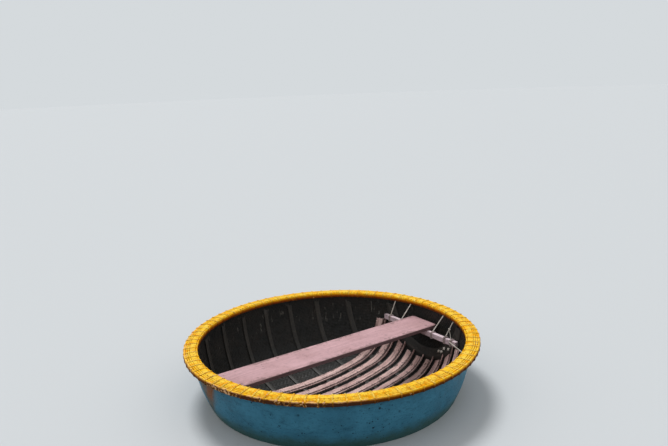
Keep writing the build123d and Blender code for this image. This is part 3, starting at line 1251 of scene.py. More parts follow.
@dataclass(frozen=True)
class SplitBamboo(Finish):
    """Bare split bamboo: streaked along its length, with dirt in its grain and darker edges."""

    pale: Colour
    mid: Colour
    dark: Colour
    dirt: Colour
    streak_length: float = 0.12
    streak_width: float = 0.0026
    dirt_scale: float = 16.0
    dirt_share: float = 0.5
    fine_share: float = 0.42
    ragged: float = 0.35
    rough: float = 0.72

    def inputs(self, shade: Shade) -> dict[str, Any]:
        """Streaks and fibres along the strip, dirt in them, and darker edges."""
        place, surface = shade.object_place(), shade.surface_place()
        edge, tone = shade.value_at("edge"), shade.value_at("tone")
        values = {"Place": surface, "Length": self.streak_length, "Width": self.streak_width}
        grain = shade.group(fibre_grain, **values, Seed=shade.times(tone, 9.0))
        level = shade.plus(shade.times(grain["Streak"], 0.75), shade.times(tone, 0.35))
        grime = shade.group(grime_clouds, Place=place, Scale=self.dirt_scale, Amount=1.0)
        spots = shade.times(shade.either(grime["Broad"], grime["Fine"]), self.dirt_share)
        wear = shade.group(worn_patches, Place=place, Edge=edge, Scale=85.0, Amount=self.ragged)
        colour = shade.laid(
            shade.mix(shade.band(level, 0.1, 0.95), self.pale, self.mid),
            (grain["Fine"], self.fine_share, self.dark),
            (shade.times(spots, grain["Streak"]), 1.0, self.dirt),
            (wear["Mask"], 0.8, self.dirt),
        )
        colour = shade.darker(colour, shade.band(edge, 0.5, 1.0), 0.62)
        split = shade.bump(grain["Streak"], 0.0009, 0.5, shade.bump(grain["Fine"], 0.0005, 0.8))
        return {"Base Color": colour, "Roughness": self.rough, "Normal": split}


@dataclass(frozen=True)
class SawnBoard(Finish):
    """A worn, unpainted board: grain along it, stains, scuffed edges and fine cracks."""

    pale: Colour
    mid: Colour
    dark: Colour
    stain: Colour
    grain_length: float = 0.35
    grain_width: float = 0.006
    stain_scale: float = 5.0
    stain_share: float = 0.5
    crack_share: float = 0.6
    # How dark the painted shade on faces that do not face up is.
    side_shade_share: float = 1.0

    def inputs(self, shade: Shade) -> dict[str, Any]:
        """Bent grain and stains, painted shade on the sides, cracks along the grain and scuffed edges."""
        place = shade.object_place()
        parts = shade.parts(shade.surface_place())
        bent = shade.joined(parts[0], shade.plus(parts[1], shade.drift(place, 3.0, 2.0, 0.06)), parts[2])
        values = {"Place": bent, "Length": self.grain_length, "Width": self.grain_width}
        grain = shade.group(fibre_grain, **values)
        grime = shade.group(grime_clouds, Place=place, Scale=self.stain_scale, Amount=1.0)
        colour = shade.laid(
            shade.mix(grain["Streak"], self.pale, self.mid),
            (grain["Fine"], 0.30, self.dark),
            (grime["Broad"], self.stain_share, self.stain),
        )
        colour = shade.darker(colour, shade.times(grime["Fine"], 0.5), 0.7)
        # Painted shade: faces that do not face upwards are darker.
        facing = shade.parts(shade.node("NewGeometry").outputs["Normal"])[2]
        colour = shade.darker(colour, shade.fade(facing, 0.35, 0.80), self.side_shade_share)
        cracks = shade.noise(shade.scaled(bent, (2.2, 170.0, 1.0)), 1.0, 2.0, 0.5)
        crack = shade.times(shade.band(cracks, 0.66, 0.70), self.crack_share)
        values = {"Place": place, "Edge": shade.value_at("edge"), "Scale": 42.0, "Amount": 0.02}
        wear = shade.group(worn_patches, **values)
        colour = shade.laid(colour, (crack, 1.0, self.dark), (wear["Rim"], 0.6, self.dark))
        fibre = shade.bump(grain["Fine"], 0.0004, 0.7)
        splits = shade.bump(shade.minus(1.0, crack), 0.0012, 0.8, fibre)
        rough = shade.band(grime["Broad"], 0.0, 1.0, 0.62, 0.8)
        return {"Base Color": colour, "Roughness": rough, "Normal": splits}


@dataclass(frozen=True)
class RopeFinish(Finish):
    """Laid rope or thin cord: fibres along each strand and dirt between them."""

    clean: Colour = (0.88, 0.83, 0.77)
    dirty: Colour = (0.60, 0.54, 0.47)
    dark: Colour = (0.24, 0.20, 0.15)

    def inputs(self, shade: Shade) -> dict[str, Any]:
        """Clean and dirty clouds, with dark dirt between the fibres."""
        place, surface = shade.object_place(), shade.surface_place()
        grain = shade.group(fibre_grain, Place=surface, Length=0.012, Width=0.0006)
        grime = shade.group(grime_clouds, Place=place, Scale=22.0, Amount=1.0)
        colour = shade.mix(grime["Broad"], self.clean, self.dirty)
        colour = shade.laid(colour, (shade.times(grain["Fine"], grime["Fine"]), 0.7, self.dark))
        fibre = shade.bump(grain["Fine"], 0.0003, 0.8)
        return {"Base Color": colour, "Normal": fibre, "Roughness": 0.86, "Sheen Weight": 0.15}


@dataclass(frozen=True)
class PaleFloor(Finish):
    """The plain pale floor, at the waterline, which throws as little light on the hull as water."""

    name: str = "pale_floor"
    seen: Colour = (0.600, 0.630, 0.650)
    thrown: Colour = (0.205, 0.235, 0.262)
    rough: float = 0.9

    def inputs(self, shade: Shade) -> dict[str, Any]:
        """One colour for the eye and another for the light that the floor throws."""
        colour = shade.mix(shade.seen_directly(), self.thrown, self.seen)
        return {"Base Color": colour, "Roughness": self.rough}


@dataclass
class Bowl:
    """The form of the bowl: wall, bilge and bottom arcs that touch one another.

    A place on it is given by the distance along its section from the middle of the bottom, on
    the outside. Each arc shares its centre at every inset, so a place goes straight inwards.
    """

    rim_level: float
    depth: float
    mouth_radius: float
    wall_arc: float = 0.810
    bilge_arc: float = 0.300
    bottom_arc: float = 2.600
    top_drop: float = 0.0113
    skin: float = 0.004
    weave: float = 0.008
    samples: int = 4000
    run: np.ndarray = field(init=False)
    radius: np.ndarray = field(init=False)
    height: np.ndarray = field(init=False)
    slope: np.ndarray = field(init=False)

    def __post_init__(self) -> None:
        """Tabulate the section by the angle of its normal from straight down.

        The bilge's centre lies wall_arc - bilge_arc from the wall's centre and
        bottom_arc - bilge_arc from the bottom's, where two circles meet.
        """
        wall = np.array([self.mouth_radius - self.wall_arc, 0.0])
        bottom = np.array([0.0, self.depth - self.bottom_arc])
        near, far = self.wall_arc - self.bilge_arc, self.bottom_arc - self.bilge_arc
        apart = float(np.linalg.norm(bottom - wall))
        along = (near**2 - far**2 + apart**2) / (2 * apart)
        off = math.sqrt(near**2 - along**2)
        line = (bottom - wall) / apart
        square = np.array([-line[1], line[0]])
        choices = [wall + along * line + sign * off * square for sign in (1, -1)]
        bilge = max(choices, key=lambda centre: centre[0])
        first = math.atan2(bilge[0], bilge[1] - bottom[1])
        second = math.atan2(bilge[0] - wall[0], bilge[1])
        last = math.acos(self.top_drop / self.wall_arc)
        angle = np.linspace(0.0, last, self.samples)
        spans = [angle <= first, angle <= second]
        arc = np.select(spans, [self.bottom_arc, self.bilge_arc], self.wall_arc)
        centre_r = np.select(spans, [bottom[0], bilge[0]], wall[0])
        centre_d = np.select(spans, [bottom[1], bilge[1]], wall[1])
        self.radius = centre_r + arc * np.sin(angle)
        self.height = self.rim_level - (centre_d + arc * np.cos(angle))
        self.slope = angle
        steps = np.hypot(np.diff(self.radius), np.diff(self.height))
        self.run = np.concatenate([[0.0], np.cumsum(steps)])

    @property
    def inside(self) -> float:
        """The inset of the woven wall's inner face."""
        return self.skin + FIT_GAP + self.weave

    @property
    def reach(self) -> float:
        """The distance along the section from the bottom to the wall's top edge."""
        return float(self.run[-1])

    def at(self, run: Any, inset: Any) -> tuple[np.ndarray, np.ndarray]:
        """Radius and height of places along the section at an inset."""
        angle = np.interp(run, self.run, self.slope)
        radius = np.interp(run, self.run, self.radius) - inset * np.sin(angle)
        return radius, np.interp(run, self.run, self.height) + inset * np.cos(angle)

    def radius_at_drop(self, drop: float, inset: float) -> float:
        """The radius at an inset where it is a drop below the top of the rim."""
        heights = self.height + inset * np.cos(self.slope)
        radii = self.radius - inset * np.sin(self.slope)
        return float(np.interp(self.rim_level - drop, heights, radii))

    def even_bends(self, count: int, last: float) -> np.ndarray:
        """Distances along the section whose chords all lie about as far off their arcs.

        A chord lies its length squared over eight radii off its arc, so the chords' lengths go
        as the root of the radius.

        Args:
            count: How many distances, from the wall's top edge inwards.
            last: The last of them.

        Returns:
            The distances, the greatest first.
        """
        arc = np.gradient(self.run, self.slope)
        weight = np.cumsum(np.gradient(self.run) / np.sqrt(arc))
        even = np.linspace(weight[-1], np.interp(last, self.run, weight), count)
        return np.interp(even, weight, self.run)

    def over(self, u: np.ndarray, v: np.ndarray, inset: float) -> np.ndarray:
        """Places on the bowl at an inset, above or below places of its plan."""
        radii = self.radius - inset * np.sin(self.slope)
        _, height = self.at(np.interp(np.hypot(u, v), radii, self.run), inset)
        return np.stack([u, v, height], axis=-1)


@dataclass
class Hull:
    """The painted skin and the woven bowl inside it."""

    bowl: Bowl
    columns: int = 420
    rings: int = 130
    back_rings: int = 14
    back_share: int = 4
    back_slack: float = 0.001
    pole: float = 0.012
    dent: float = 0.0013
    weave_step: float = 0.0075
    strip_steps: int = 3
    weave_depth: float = 0.0024
    weave_turn: float = SEAT_ANGLE + math.radians(45.0)

    def dents(self, place: np.ndarray) -> np.ndarray:
        """How far the skin has sunk at places of its plan: crossed waves, from 0 to the dent."""
        across, along = place[..., 0] * 4.0, place[..., 1] * 4.0
        waves = ripple(across, (3, 5, 8), 3) * ripple(along, (2, 5, 7), 4)
        fine = ripple(across + 0.7 * along, (11, 17, 23), 5)
        return self.dent * (0.5 + 0.28 * waves + 0.20 * fine).clip(0.0, 1.0)

    def build_skin(self) -> None:
        """The skin: rings round the bowl outside it, over its top edge and back inside it."""
        outer = np.linspace(self.pole, self.bowl.reach, self.rings)
        inner = self.bowl.even_bends(self.back_rings, self.pole)
        run = np.concatenate([outer, inner])[:, None]
        direction = circle(self.columns)
        plan = run[..., None] * direction
        edge = smooth_step(run, self.bowl.reach - 0.04, self.bowl.reach - 0.01)
        back = np.arange(len(run))[:, None] >= self.rings
        inset = np.where(back, self.bowl.skin - self.back_slack, self.dents(plan) * (1.0 - edge))
        radius, height = self.bowl.at(run, inset)
        sheaf = Sheaf()
        sheaf.grids(on_rings(radius, direction, height), wrapped(plan, 1))
        sheaf.piece("hull_skin", HullPaint().material(), "hull_paint", "outer_skin")

    def weave_height(self, row: np.ndarray, column: np.ndarray) -> np.ndarray:
        """Height of the weave at a grid's lines, from 0 in the gaps to 1 on the tops.

        The grid has strip_steps lines to a strip. A line between two strips is low, and one on
        a strip is high where that strip is on top. The strip that goes over two others is
        highest in the middle of its four lines.
        """
        lines = self.strip_steps
        strip = (row // lines + column // lines) % 4
        over = strip < 2
        on_gap = np.where(over, row, column) % lines == 0
        line = np.where(over, column, row) % lines + lines * (strip % 2)
        crown = np.sin((line + 0.5) * math.pi / (2 * lines))
        return np.where(on_gap, 0.0, 0.45 + 0.55 * crown)

    def build_weave(self) -> None:
        """The woven bowl.

        Its inner face is a grid whose lines run along the strips. A line's places are distances
        along the bowl in two directions, so that a place's run is its distance from the middle.
        Places past the top edge are drawn in to it. The outer face is a set of rings on the
        same edge.
        """
        reach = self.bowl.reach
        count = int(reach / self.weave_step) + 2
        line = np.arange(-count, count + 1)
        row, column = np.meshgrid(line, line, indexing="ij")
        plan = np.stack([row, column], axis=-1) * self.weave_step
        away = np.hypot(plan[..., 0], plan[..., 1])
        inside = away < reach - 0.2 * self.weave_step
        cells = quads(inside).any(axis=-1)
        used = quads(np.pad(cells, 1)).any(axis=-1)
        run = np.where(inside, away, reach)
        direction = turned(plan / np.maximum(away, 1e-9)[..., None], self.weave_turn)
        high = self.weave_height(row, column) * (1 - smooth_step(run, reach - 0.05, reach - 0.03))
        inset = self.bowl.inside - self.weave_depth * (1.0 - high)
        radius, height = self.bowl.at(run, inset)
        points = on_rings(radius, direction, height)
        sheaf = Sheaf()
        numbers = np.full(inside.shape, -1)
        numbers[used] = sheaf.vertices(points[used], edge=1.0 - high[used])
        sheaf.polygons(quads(numbers, clockwise=True)[cells], quads(plan, clockwise=True)[cells])
        self.close_weave(sheaf, numbers[used & ~inside], direction[used & ~inside])
        sheaf.piece("woven_bowl", TarredWeave().material(), "tarred_weave", "woven_shell")

    def close_weave(self, sheaf: Sheaf, loop: np.ndarray, direction: np.ndarray) -> None:
        """The woven bowl's outer face: rings from its top edge down to the middle of the bottom.

        A ring has one point for a few of the top edge, and each of those few is joined to it.

        Args:
            sheaf: The mesh so far.
            loop: Numbers of the points on the top edge.
            direction: Their directions from the upright axis.
        """
        order = np.argsort(np.arctan2(direction[:, 1], direction[:, 0]))
        loop, direction = loop[order], direction[order][:: self.back_share]
        run = self.bowl.even_bends(self.back_rings, 8 * self.pole)[:, None]
        inset = self.bowl.skin + FIT_GAP
        radius, height = self.bowl.at(run, inset)
        rings = wrapped(sheaf.vertices(on_rings(radius, direction, height), edge=1.0), 1)
        near = rings[0, np.arange(len(loop)) // self.back_share]
        comb = np.stack([loop, near, np.roll(loop, -1)], axis=-1)
        last = np.minimum(np.arange(1, rings.shape[1]) * self.back_share, len(loop)) % len(loop)
        gaps = np.stack([loop[last], rings[0, :-1], rings[0, 1:]], axis=-1)
        _, middle = self.bowl.at(0.0, inset)
        pole = sheaf.vertices(np.array([[0.0, 0.0, float(middle)]]), edge=1.0)
        hub = np.repeat(pole, rings.shape[1] - 1)
        fan = np.stack([rings[-1, :-1], hub, rings[-1, 1:]], axis=-1)
        for faces in (comb, gaps, quads(rings, clockwise=True), fan):
            sheaf.polygons(faces, np.zeros(faces.shape + (2,)))

    def build(self) -> None:
        """Build and dress both layers."""
        self.build_skin()
        self.build_weave()


@dataclass(frozen=True)
class Ring:
    """The size of one hoop of the frame."""

    inner: float
    outer: float
    low: float
    high: float

    @classmethod
    def of(cls, node: bpy.types.Object) -> Ring:
        """Measure the hoop that a node of the frame is."""
        flat = np.zeros(len(node.data.vertices) * 3, dtype=np.float32)
        node.data.vertices.foreach_get("co", flat)
        points = flat.reshape(-1, 3).astype(float)
        radius = np.hypot(points[:, 0], points[:, 1])
        heights = points[:, 2]
        return cls(radius.min(), radius.max(), heights.min(), heights.max())


@dataclass(frozen=True)
class HoopLook:
    """How one hoop's split bamboo differs from the next."""

    node: str
    rounding: float
    lengths: int
    seed: int
    slot: str = "rim_paint"
    finish: str = "rim_paint"


@dataclass
class Rim:
    """The rim: hoops of split bamboo, the packing between them, and the lashings over them."""

    nodes: dict[str, bpy.types.Object]
    bowl: Bowl
    stations: int = 800
    lashing_pitch: float = 0.0785
    lashing_width: float = 0.009
    lashing_turns: int = 4
    thickness: float = 0.0017
    inner_corner: float = 0.0045
    cap_corner: float = 0.005
    outer_corner: float = 0.0065
    lean: float = 0.0035
    reference_radius: float = 0.95
    node_pitch: float = 0.36
    node_width: float = 0.008
    least_wear: float = 0.0002
    side_wear: float = 0.0007
    top_wear: float = 0.0011
    looks: tuple[HoopLook, ...] = (
        HoopLook("rim_outer_hoop", 0.0055, 3, 11, "rim_edge_paint", "rim_edge_paint"),
        HoopLook("rim_second_hoop", 0.0036, 3, 12),
        HoopLook("rim_third_hoop", 0.0036, 4, 13),
        HoopLook("rim_cap", 0.0036, 4, 14),
        HoopLook("rim_inner_hoop", 0.0035, 3, 15, finish="rim_inner_paint"),
    )

    def hoop(self, look: HoopLook) -> tuple[np.ndarray, np.ndarray, np.ndarray]:
        """One hoop of split bamboo, a little uneven.

        The section is a rounded box carried round the axis. Between its nodes the bamboo is
        narrower and lower by up to about a millimetre, along waves, and each length of it
        starts a little proud of the one before.

        Args:
            look: The hoop's differences.

        Returns:
            Its points, UV places and nearness to an edge.
        """
        ring = Ring.of(self.nodes[look.node])
        width, height = ring.outer - ring.inner, ring.high - ring.low
        section, edge = rounded_box(width, height, look.rounding, 3, 4)
        angle = np.arange(self.stations) * FULL_TURN / self.stations
        rng = np.random.default_rng(look.seed)
        count = int(FULL_TURN * self.reference_radius / self.node_pitch)
        knots = (np.arange(count) + rng.uniform(-0.25, 0.25, count)) * FULL_TURN / count
        gap = np.abs((angle[:, None] - knots + math.pi) % FULL_TURN - math.pi)
        ridge = np.exp(-((gap * self.reference_radius / self.node_width) ** 2)).sum(axis=1).clip(0, 1)
        joint = rng.uniform(0.0, FULL_TURN)
        saw = ((angle - joint) * look.lengths / FULL_TURN) % 1.0
        step = np.exp(-saw * 9.0)
        wave = 0.5 + 0.5 * ripple(angle, (9, 16, 29, 47), look.seed + 40)
        narrow = (self.least_wear + self.side_wear * wave) * (1 - ridge) * (1 - 0.6 * step)
        wave = 0.5 + 0.5 * ripple(angle, (7, 13, 24, 41), look.seed + 80)
        sunk = (self.least_wear + self.top_wear * wave) * (1 - ridge) * (1 - 0.8 * step)
        shape = np.repeat(section[None], self.stations, axis=0)
        shape[..., 0] *= 1 - 2 * narrow[:, None] / width
        shape[..., 1] -= sunk[:, None] * (section[:, 1] > 0)
        radius = (ring.inner + ring.outer) / 2 - shape[..., 0]
        level = (ring.low + ring.high) / 2 + shape[..., 1]
        along = np.arange(self.stations + 1) * FULL_TURN / self.stations * self.reference_radius
        # The edge value marks where the grooves' painted shade and dirt go: the hoop's sides, and a
        # little at its top corners.
        groove = np.where(section[:, 1] > height / 2 - 0.5 * look.rounding, edge * 0.3, 1.0)
        groove = np.where(np.abs(section[:, 0]) < width / 2 - look.rounding, 0.0, groove)
        points = on_rings(radius, compass(angle)[:, None], level)
        return points, chart(along, girth(section)), groove

    def paints(self) -> dict[str, bpy.types.Material]:
        """The hoops' paints: worn at the outer edge, and painted shade, orange to brown, down the inner
        face.
        """
        # The outer hoop's paint has the painted peach highlight on its shoulder.
        edge = RimPaint("rim_edge_paint", worn=0.06, worn_more=0.34, groove=0.3, peach_share=0.75)
        inner = RimPaint(
            "rim_inner_paint",
            # Painted shade: orange, brown and dark brown down the inner face.
            side=(0.84, 0.29, 0.010),
            brown=(0.50, 0.125, 0.008),
            low=(0.17, 0.040, 0.008),
            groove=0.3,
        )
        finishes = (RimPaint("rim_paint"), edge, inner)
        return {finish.name: finish.material() for finish in finishes}

    def build_hoops(self) -> None:
        """All the hoops, each a piece of its own."""
        paints = self.paints()
        for look in self.looks:
            points, places, edge = self.hoop(look)
            # The outer hoop's outer face gets less of the grooves' painted shade and dirt.
            if look.node == "rim_outer_hoop":
                far = np.hypot(points[..., 0], points[..., 1]).max(axis=0)
                edge = np.where(far > far.mean(), edge * 0.25, edge)
            sheaf = Sheaf()
            sheaf.grids(points, places, edge, tone=look.seed % 5 / 4.0, closed=True)
            name = look.node.replace("rim_", "split_")
            sheaf.piece(name, paints[look.finish], look.slot, look.node)

    def dress_packings(self) -> None:
        """Give the packing between the hoops the rim's paint."""
        material = RimPaint("packing_paint", has_chart=False, side_drop=0.004).material()
        for name in ("rim_outer_packing", "rim_inner_packing"):
            for slot in self.nodes[name].material_slots:
                slot.material = material

    def lashing_route(self) -> np.ndarray:
        """The line of a lashing round the bundle, as (radius, height), from inside the wall.

        It starts at the wall inside, goes out under the inner hoop, up its face, over the hoops
        from the highest to the lowest, down again, and ends at the wall outside.
        """
        cap = Ring.of(self.nodes["rim_cap"])
        inner, outer = (Ring.of(self.nodes[f"rim_{name}_hoop"]) for name in ("inner", "outer"))
        off = FIT_GAP + self.thickness / 2
        low = inner.low - off
        drop = self.bowl.rim_level - low
        start = self.bowl.radius_at_drop(drop, self.bowl.inside) - FIT_GAP
        end = self.bowl.radius_at_drop(drop, 0.0) + FIT_GAP
        corners = [(start, low), (inner.inner - off, low), (inner.inner - off, inner.high + off)]
        corners += [(cap.inner, cap.high + off), (cap.outer, cap.high + off)]
        corners += [(outer.outer + off, outer.high + off), (outer.outer + off, low), (end, low)]
        rounding = (self.inner_corner, self.inner_corner, self.cap_corner)
        rounding += (self.cap_corner, self.outer_corner, self.outer_corner)
        return rounded_route(np.array(corners), np.array(rounding), 6)

    def build_lashings(self) -> None:
        """The lashings: each a band of turns of line side by side, leaning a little.

        Across the band its outer face is one low round for each turn. A point of the band lies
        at the route's radius and height, moved out from the route by the band's own outline.
        """
        route = self.lashing_route()
        tangent = unit(np.gradient(route, axis=0))
        outward = np.stack([-tangent[:, 1], tangent[:, 0]], axis=-1)
        outward *= -np.sign(np.cross(tangent, outward))[:, None]
        per_turn = 4
        t = np.linspace(0.0, 1.0, self.lashing_turns * per_turn + 1)
        bulge = np.abs(np.sin(t * self.lashing_turns * math.pi))
        face = np.stack([0.5 - t, -0.2 + 0.7 * bulge**0.7], axis=-1)
        back = np.array([[-0.5, -0.5], [0.5, -0.5]])
        section = np.concatenate([face, back]) * [self.lashing_width, self.thickness]
        rng = np.random.default_rng(21)
        middle = np.arange(LASHING_COUNT) + 0.5 * self.lashing_width / self.lashing_pitch
        centre = middle * FULL_TURN / LASHING_COUNT
        lean = rng.normal(0.6, 0.5, LASHING_COUNT) * self.lean
        across = (route[:, 0] - route[:, 0].min()) / np.ptp(route[:, 0]) - 0.5
        shift = lean[:, None] * across * 2.0 + rng.normal(0, 0.0012, LASHING_COUNT)[:, None]
        sway = shift[..., None] + section[:, 0]
        radius = route[:, None, 0] + section[:, 1] * outward[:, None, 0]
        height = route[:, None, 1] + section[:, 1] * outward[:, None, 1]
        angle = centre[:, None, None] + sway / self.reference_radius
        points = on_rings(radius, compass(angle), height)
        places = chart(lengths_along(route), girth(section))
        edge = np.concatenate([1.0 - bulge, [1.0, 1.0]])
        tone = rng.uniform(0.0, 1.0, (LASHING_COUNT, 1, 1))
        sheaf = Sheaf()
        sheaf.grids(points, places, edge * 0.9, tone, flip=True)
        finish = RimPaint(
            "lashing_paint",
            top=(0.98, 0.565, 0.010),
            # The lashings' bright colour is paler paint and painted highlight on their turns.
            bright_and_highlight=(1.0, 0.75, 0.140),
            amber=(0.98, 0.48, 0.020),
            # The lashings' side, brown and low colours are also painted shade down the side.
            side=(0.70, 0.27, 0.020),
            brown=(0.32, 0.110, 0.014),
            low=(0.13, 0.050, 0.012),
            tone_share=0.34,
            has_chart=False,
            worn=0.03,
            worn_more=0.2,
            groove=0.44,
            cell_shade_share=0.0,
            seam=(0.30, 0.095, 0.003),
        )
        sheaf.piece("lashing_bands", finish.material(), "rim_lashing", "rim_lashings")

    def build(self) -> None:
        """Build and dress the rim."""
        self.build_hoops()
        self.dress_packings()
        self.build_lashings()


@dataclass(frozen=True)
class StripSize:
    """The size of a strip of split bamboo, and where it lies and ends.

    The inset is that of its lower face, the top drop is the drop where its ends stop, and the
    reach is the furthest that they reach from the middle.
    """

    run: Run
    width: float
    inset: float
    thickness: float
    top_drop: float
    reach: float = 2.0


@dataclass
class FloorFrames:
    """Ribs across the bowl, and the floor slats that lie over them."""

    bowl: Bowl
    seat: Seat
    rib_count: int = 9
    rib_to_wall: float = 0.0785
    rib_width: float = 0.034
    rib_thickness: float = 0.009
    rib_top_drop: float = 0.060
    slat_count: int = 9
    slat_pitch: float = 0.105
    slat_offset: float = 0.015
    slat_thickness: float = 0.008
    slat_top_drop: float = 0.190
    wide_width: float = 0.055
    wide_overrun: float = 0.005
    thin_width: float = 0.014
    thin_overrun: float = 0.020
    thin_gap: float = 0.005
    rounding_share: float = 0.32
    crown_share: float = 0.30
    ragged_ends: float = 0.003
    stations: int = 150
    node_pitch: float = 0.33
    node_width: float = 0.007
    point_pitch: float = 0.011

    def strip(
        self, size: StripSize, centre: float, seed: int
    ) -> tuple[np.ndarray, np.ndarray, np.ndarray]:
        """One strip of split bamboo, bent to the bowl.

        A point of the section keeps its own place across the strip and its own inset. Along the
        strip it goes from one end to the other as the sine of an angle, so that all its lines
        end at one level. The round side is up, and the strip is thicker at its nodes.

        Args:
            size: Its size.
            centre: Its place across the way that it runs.
            seed: Picks its unevenness.

        Returns:
            Its points, UV places and nearness to an edge.
        """
        width, thickness = size.width, size.thickness
        side_points = max(3, round(width / self.point_pitch))
        section, edge = rounded_box(width, thickness, thickness * self.rounding_share, side_points, 3)
        rng = np.random.default_rng(seed)
        place = section[:, 0] / (width / 2)
        crown = np.where(section[:, 1] > 0, 1 - self.crown_share * place**2, 1.0)
        inset = size.inset + thickness / 2 + section[:, 1] * crown
        top = np.array([self.bowl.radius_at_drop(size.top_drop, depth) for depth in inset])
        limit = np.minimum(size.reach, np.sqrt(top**2 - (centre + section[:, 0]) ** 2))
        sweep = np.linspace(-1.0, 1.0, self.stations)
        even = np.sin(sweep * math.pi / 2) * 0.7 + sweep * 0.3
        ragged = rng.uniform(0.0, self.ragged_ends, (2, len(section)))
        trim = np.where(sweep[:, None] < 0, ragged[0], -ragged[1]) * np.abs(sweep[:, None]) ** 40
        along = even[:, None] * limit + trim
        distance = even * limit.mean()
        pitch = self.node_pitch * rng.uniform(0.9, 1.15)
        phase = (distance / pitch + rng.uniform(0.0, 1.0)) % 1.0
        ridge = np.exp(-(((phase - 0.5) * pitch / self.node_width) ** 2))
        wave = 0.5 + 0.5 * ripple(distance * 3.0, (2, 5, 9), seed)
        slim = (0.0003 + 0.0010 * wave) * (1 - ridge)
        bend = 0.0008 * ripple(distance * 2.0, (1, 3), seed + 7)
        across = centre + section[:, 0] * (1 - 2 * slim[:, None] / width) + bend[:, None]
        low = (0.0006 * wave * (1 - ridge))[:, None] * (section[:, 1] > 0)
        points = self.lay(size.run, across, along, inset - low)
        return points, chart(distance + centre * 7.0, girth(section)), edge

    def lay(self, run: Run, across: np.ndarray, along: np.ndarray, inset: np.ndarray) -> np.ndarray:
        """Lay places of a strip's plan on the bowl, each at its inset."""
        radius = np.hypot(across, along)
        slope = np.interp(radius, self.bowl.radius - 0.02 * np.sin(self.bowl.slope), self.bowl.slope)
        base = radius + inset * np.sin(slope)
        for _ in range(3):
            slope = np.interp(base, self.bowl.radius, self.bowl.slope)
            base = radius + inset * np.sin(slope)
        height = np.interp(base, self.bowl.radius, self.bowl.height) + inset * np.cos(slope)
        u, v = (along, across) if run is Run.ALONG_SEAT else (across, along)
        return turned(np.stack([u, v, height], axis=-1))

    def build_ribs(self) -> None:
        """The ribs, evenly apart, across the line of the seat."""
        outermost = self.seat.inside - self.rib_to_wall
        sizes = (self.rib_width, self.bowl.inside + FIT_GAP, self.rib_thickness, self.rib_top_drop)
        size = StripSize(Run.ACROSS_SEAT, *sizes)
        sheaf = Sheaf()
        for k in range(self.rib_count):
            centre = (2 * k / (self.rib_count - 1) - 1) * outermost
            made = self.strip(size, centre, 100 + k)
            sheaf.grids(*made, tone=(k * 0.37) % 1.0, flip=True)
        finish = SplitBamboo(
            "tarred_rib",
            pale=(0.036, 0.032, 0.025),
            mid=(0.018, 0.016, 0.013),
            dark=(0.007, 0.007, 0.006),
            dirt=(0.048, 0.041, 0.033),
            dirt_share=0.6,
            rough=0.55,
        )
        sheaf.piece("split_ribs", finish.material(), "tarred_rib", "cross_ribs")

    def build_slats(self) -> None:
        """The wide slats and the thin one beside each."""
        bearer = self.seat.bearer_offset
        inset = self.bowl.inside + 2 * FIT_GAP + self.rib_thickness
        sizes = (inset, self.slat_thickness, self.slat_top_drop)
        run = Run.ALONG_SEAT
        wide_size = StripSize(run, self.wide_width, *sizes, bearer + self.wide_overrun)
        thin_size = StripSize(run, self.thin_width, *sizes, bearer + self.thin_overrun)
        beside = self.wide_width / 2 + self.thin_gap + self.thin_width / 2
        wide, thin = Sheaf(), Sheaf()
        for k in range(self.slat_count):
            centre = (k - (self.slat_count - 1) / 2) * self.slat_pitch + self.slat_offset
            tone = (k * 0.61 + 0.2) % 1.0
            wide.grids(*self.strip(wide_size, centre, 200 + k), tone=tone)
            made = self.strip(thin_size, centre - beside, 300 + k)
            thin.grids(*made, tone=(tone + 0.4) % 1.0)
        finish = SplitBamboo(
            "weathered_bamboo",
            pale=(1.0, 0.72, 0.67),
            mid=(0.78, 0.50, 0.47),
            dark=(0.24, 0.115, 0.100),
            dirt=(0.100, 0.050, 0.042),
            dirt_share=0.55,
            fine_share=0.30,
            ragged=0.22,
        ).material()
        wide.piece("split_floor_slats", finish, "weathered_bamboo", "wide_floor_slats")
        thin.piece("split_floor_laths", finish, "weathered_bamboo", "thin_floor_slats")

    def build(self) -> None:
        """Build and dress the ribs and slats."""
        self.build_ribs()
        self.build_slats()


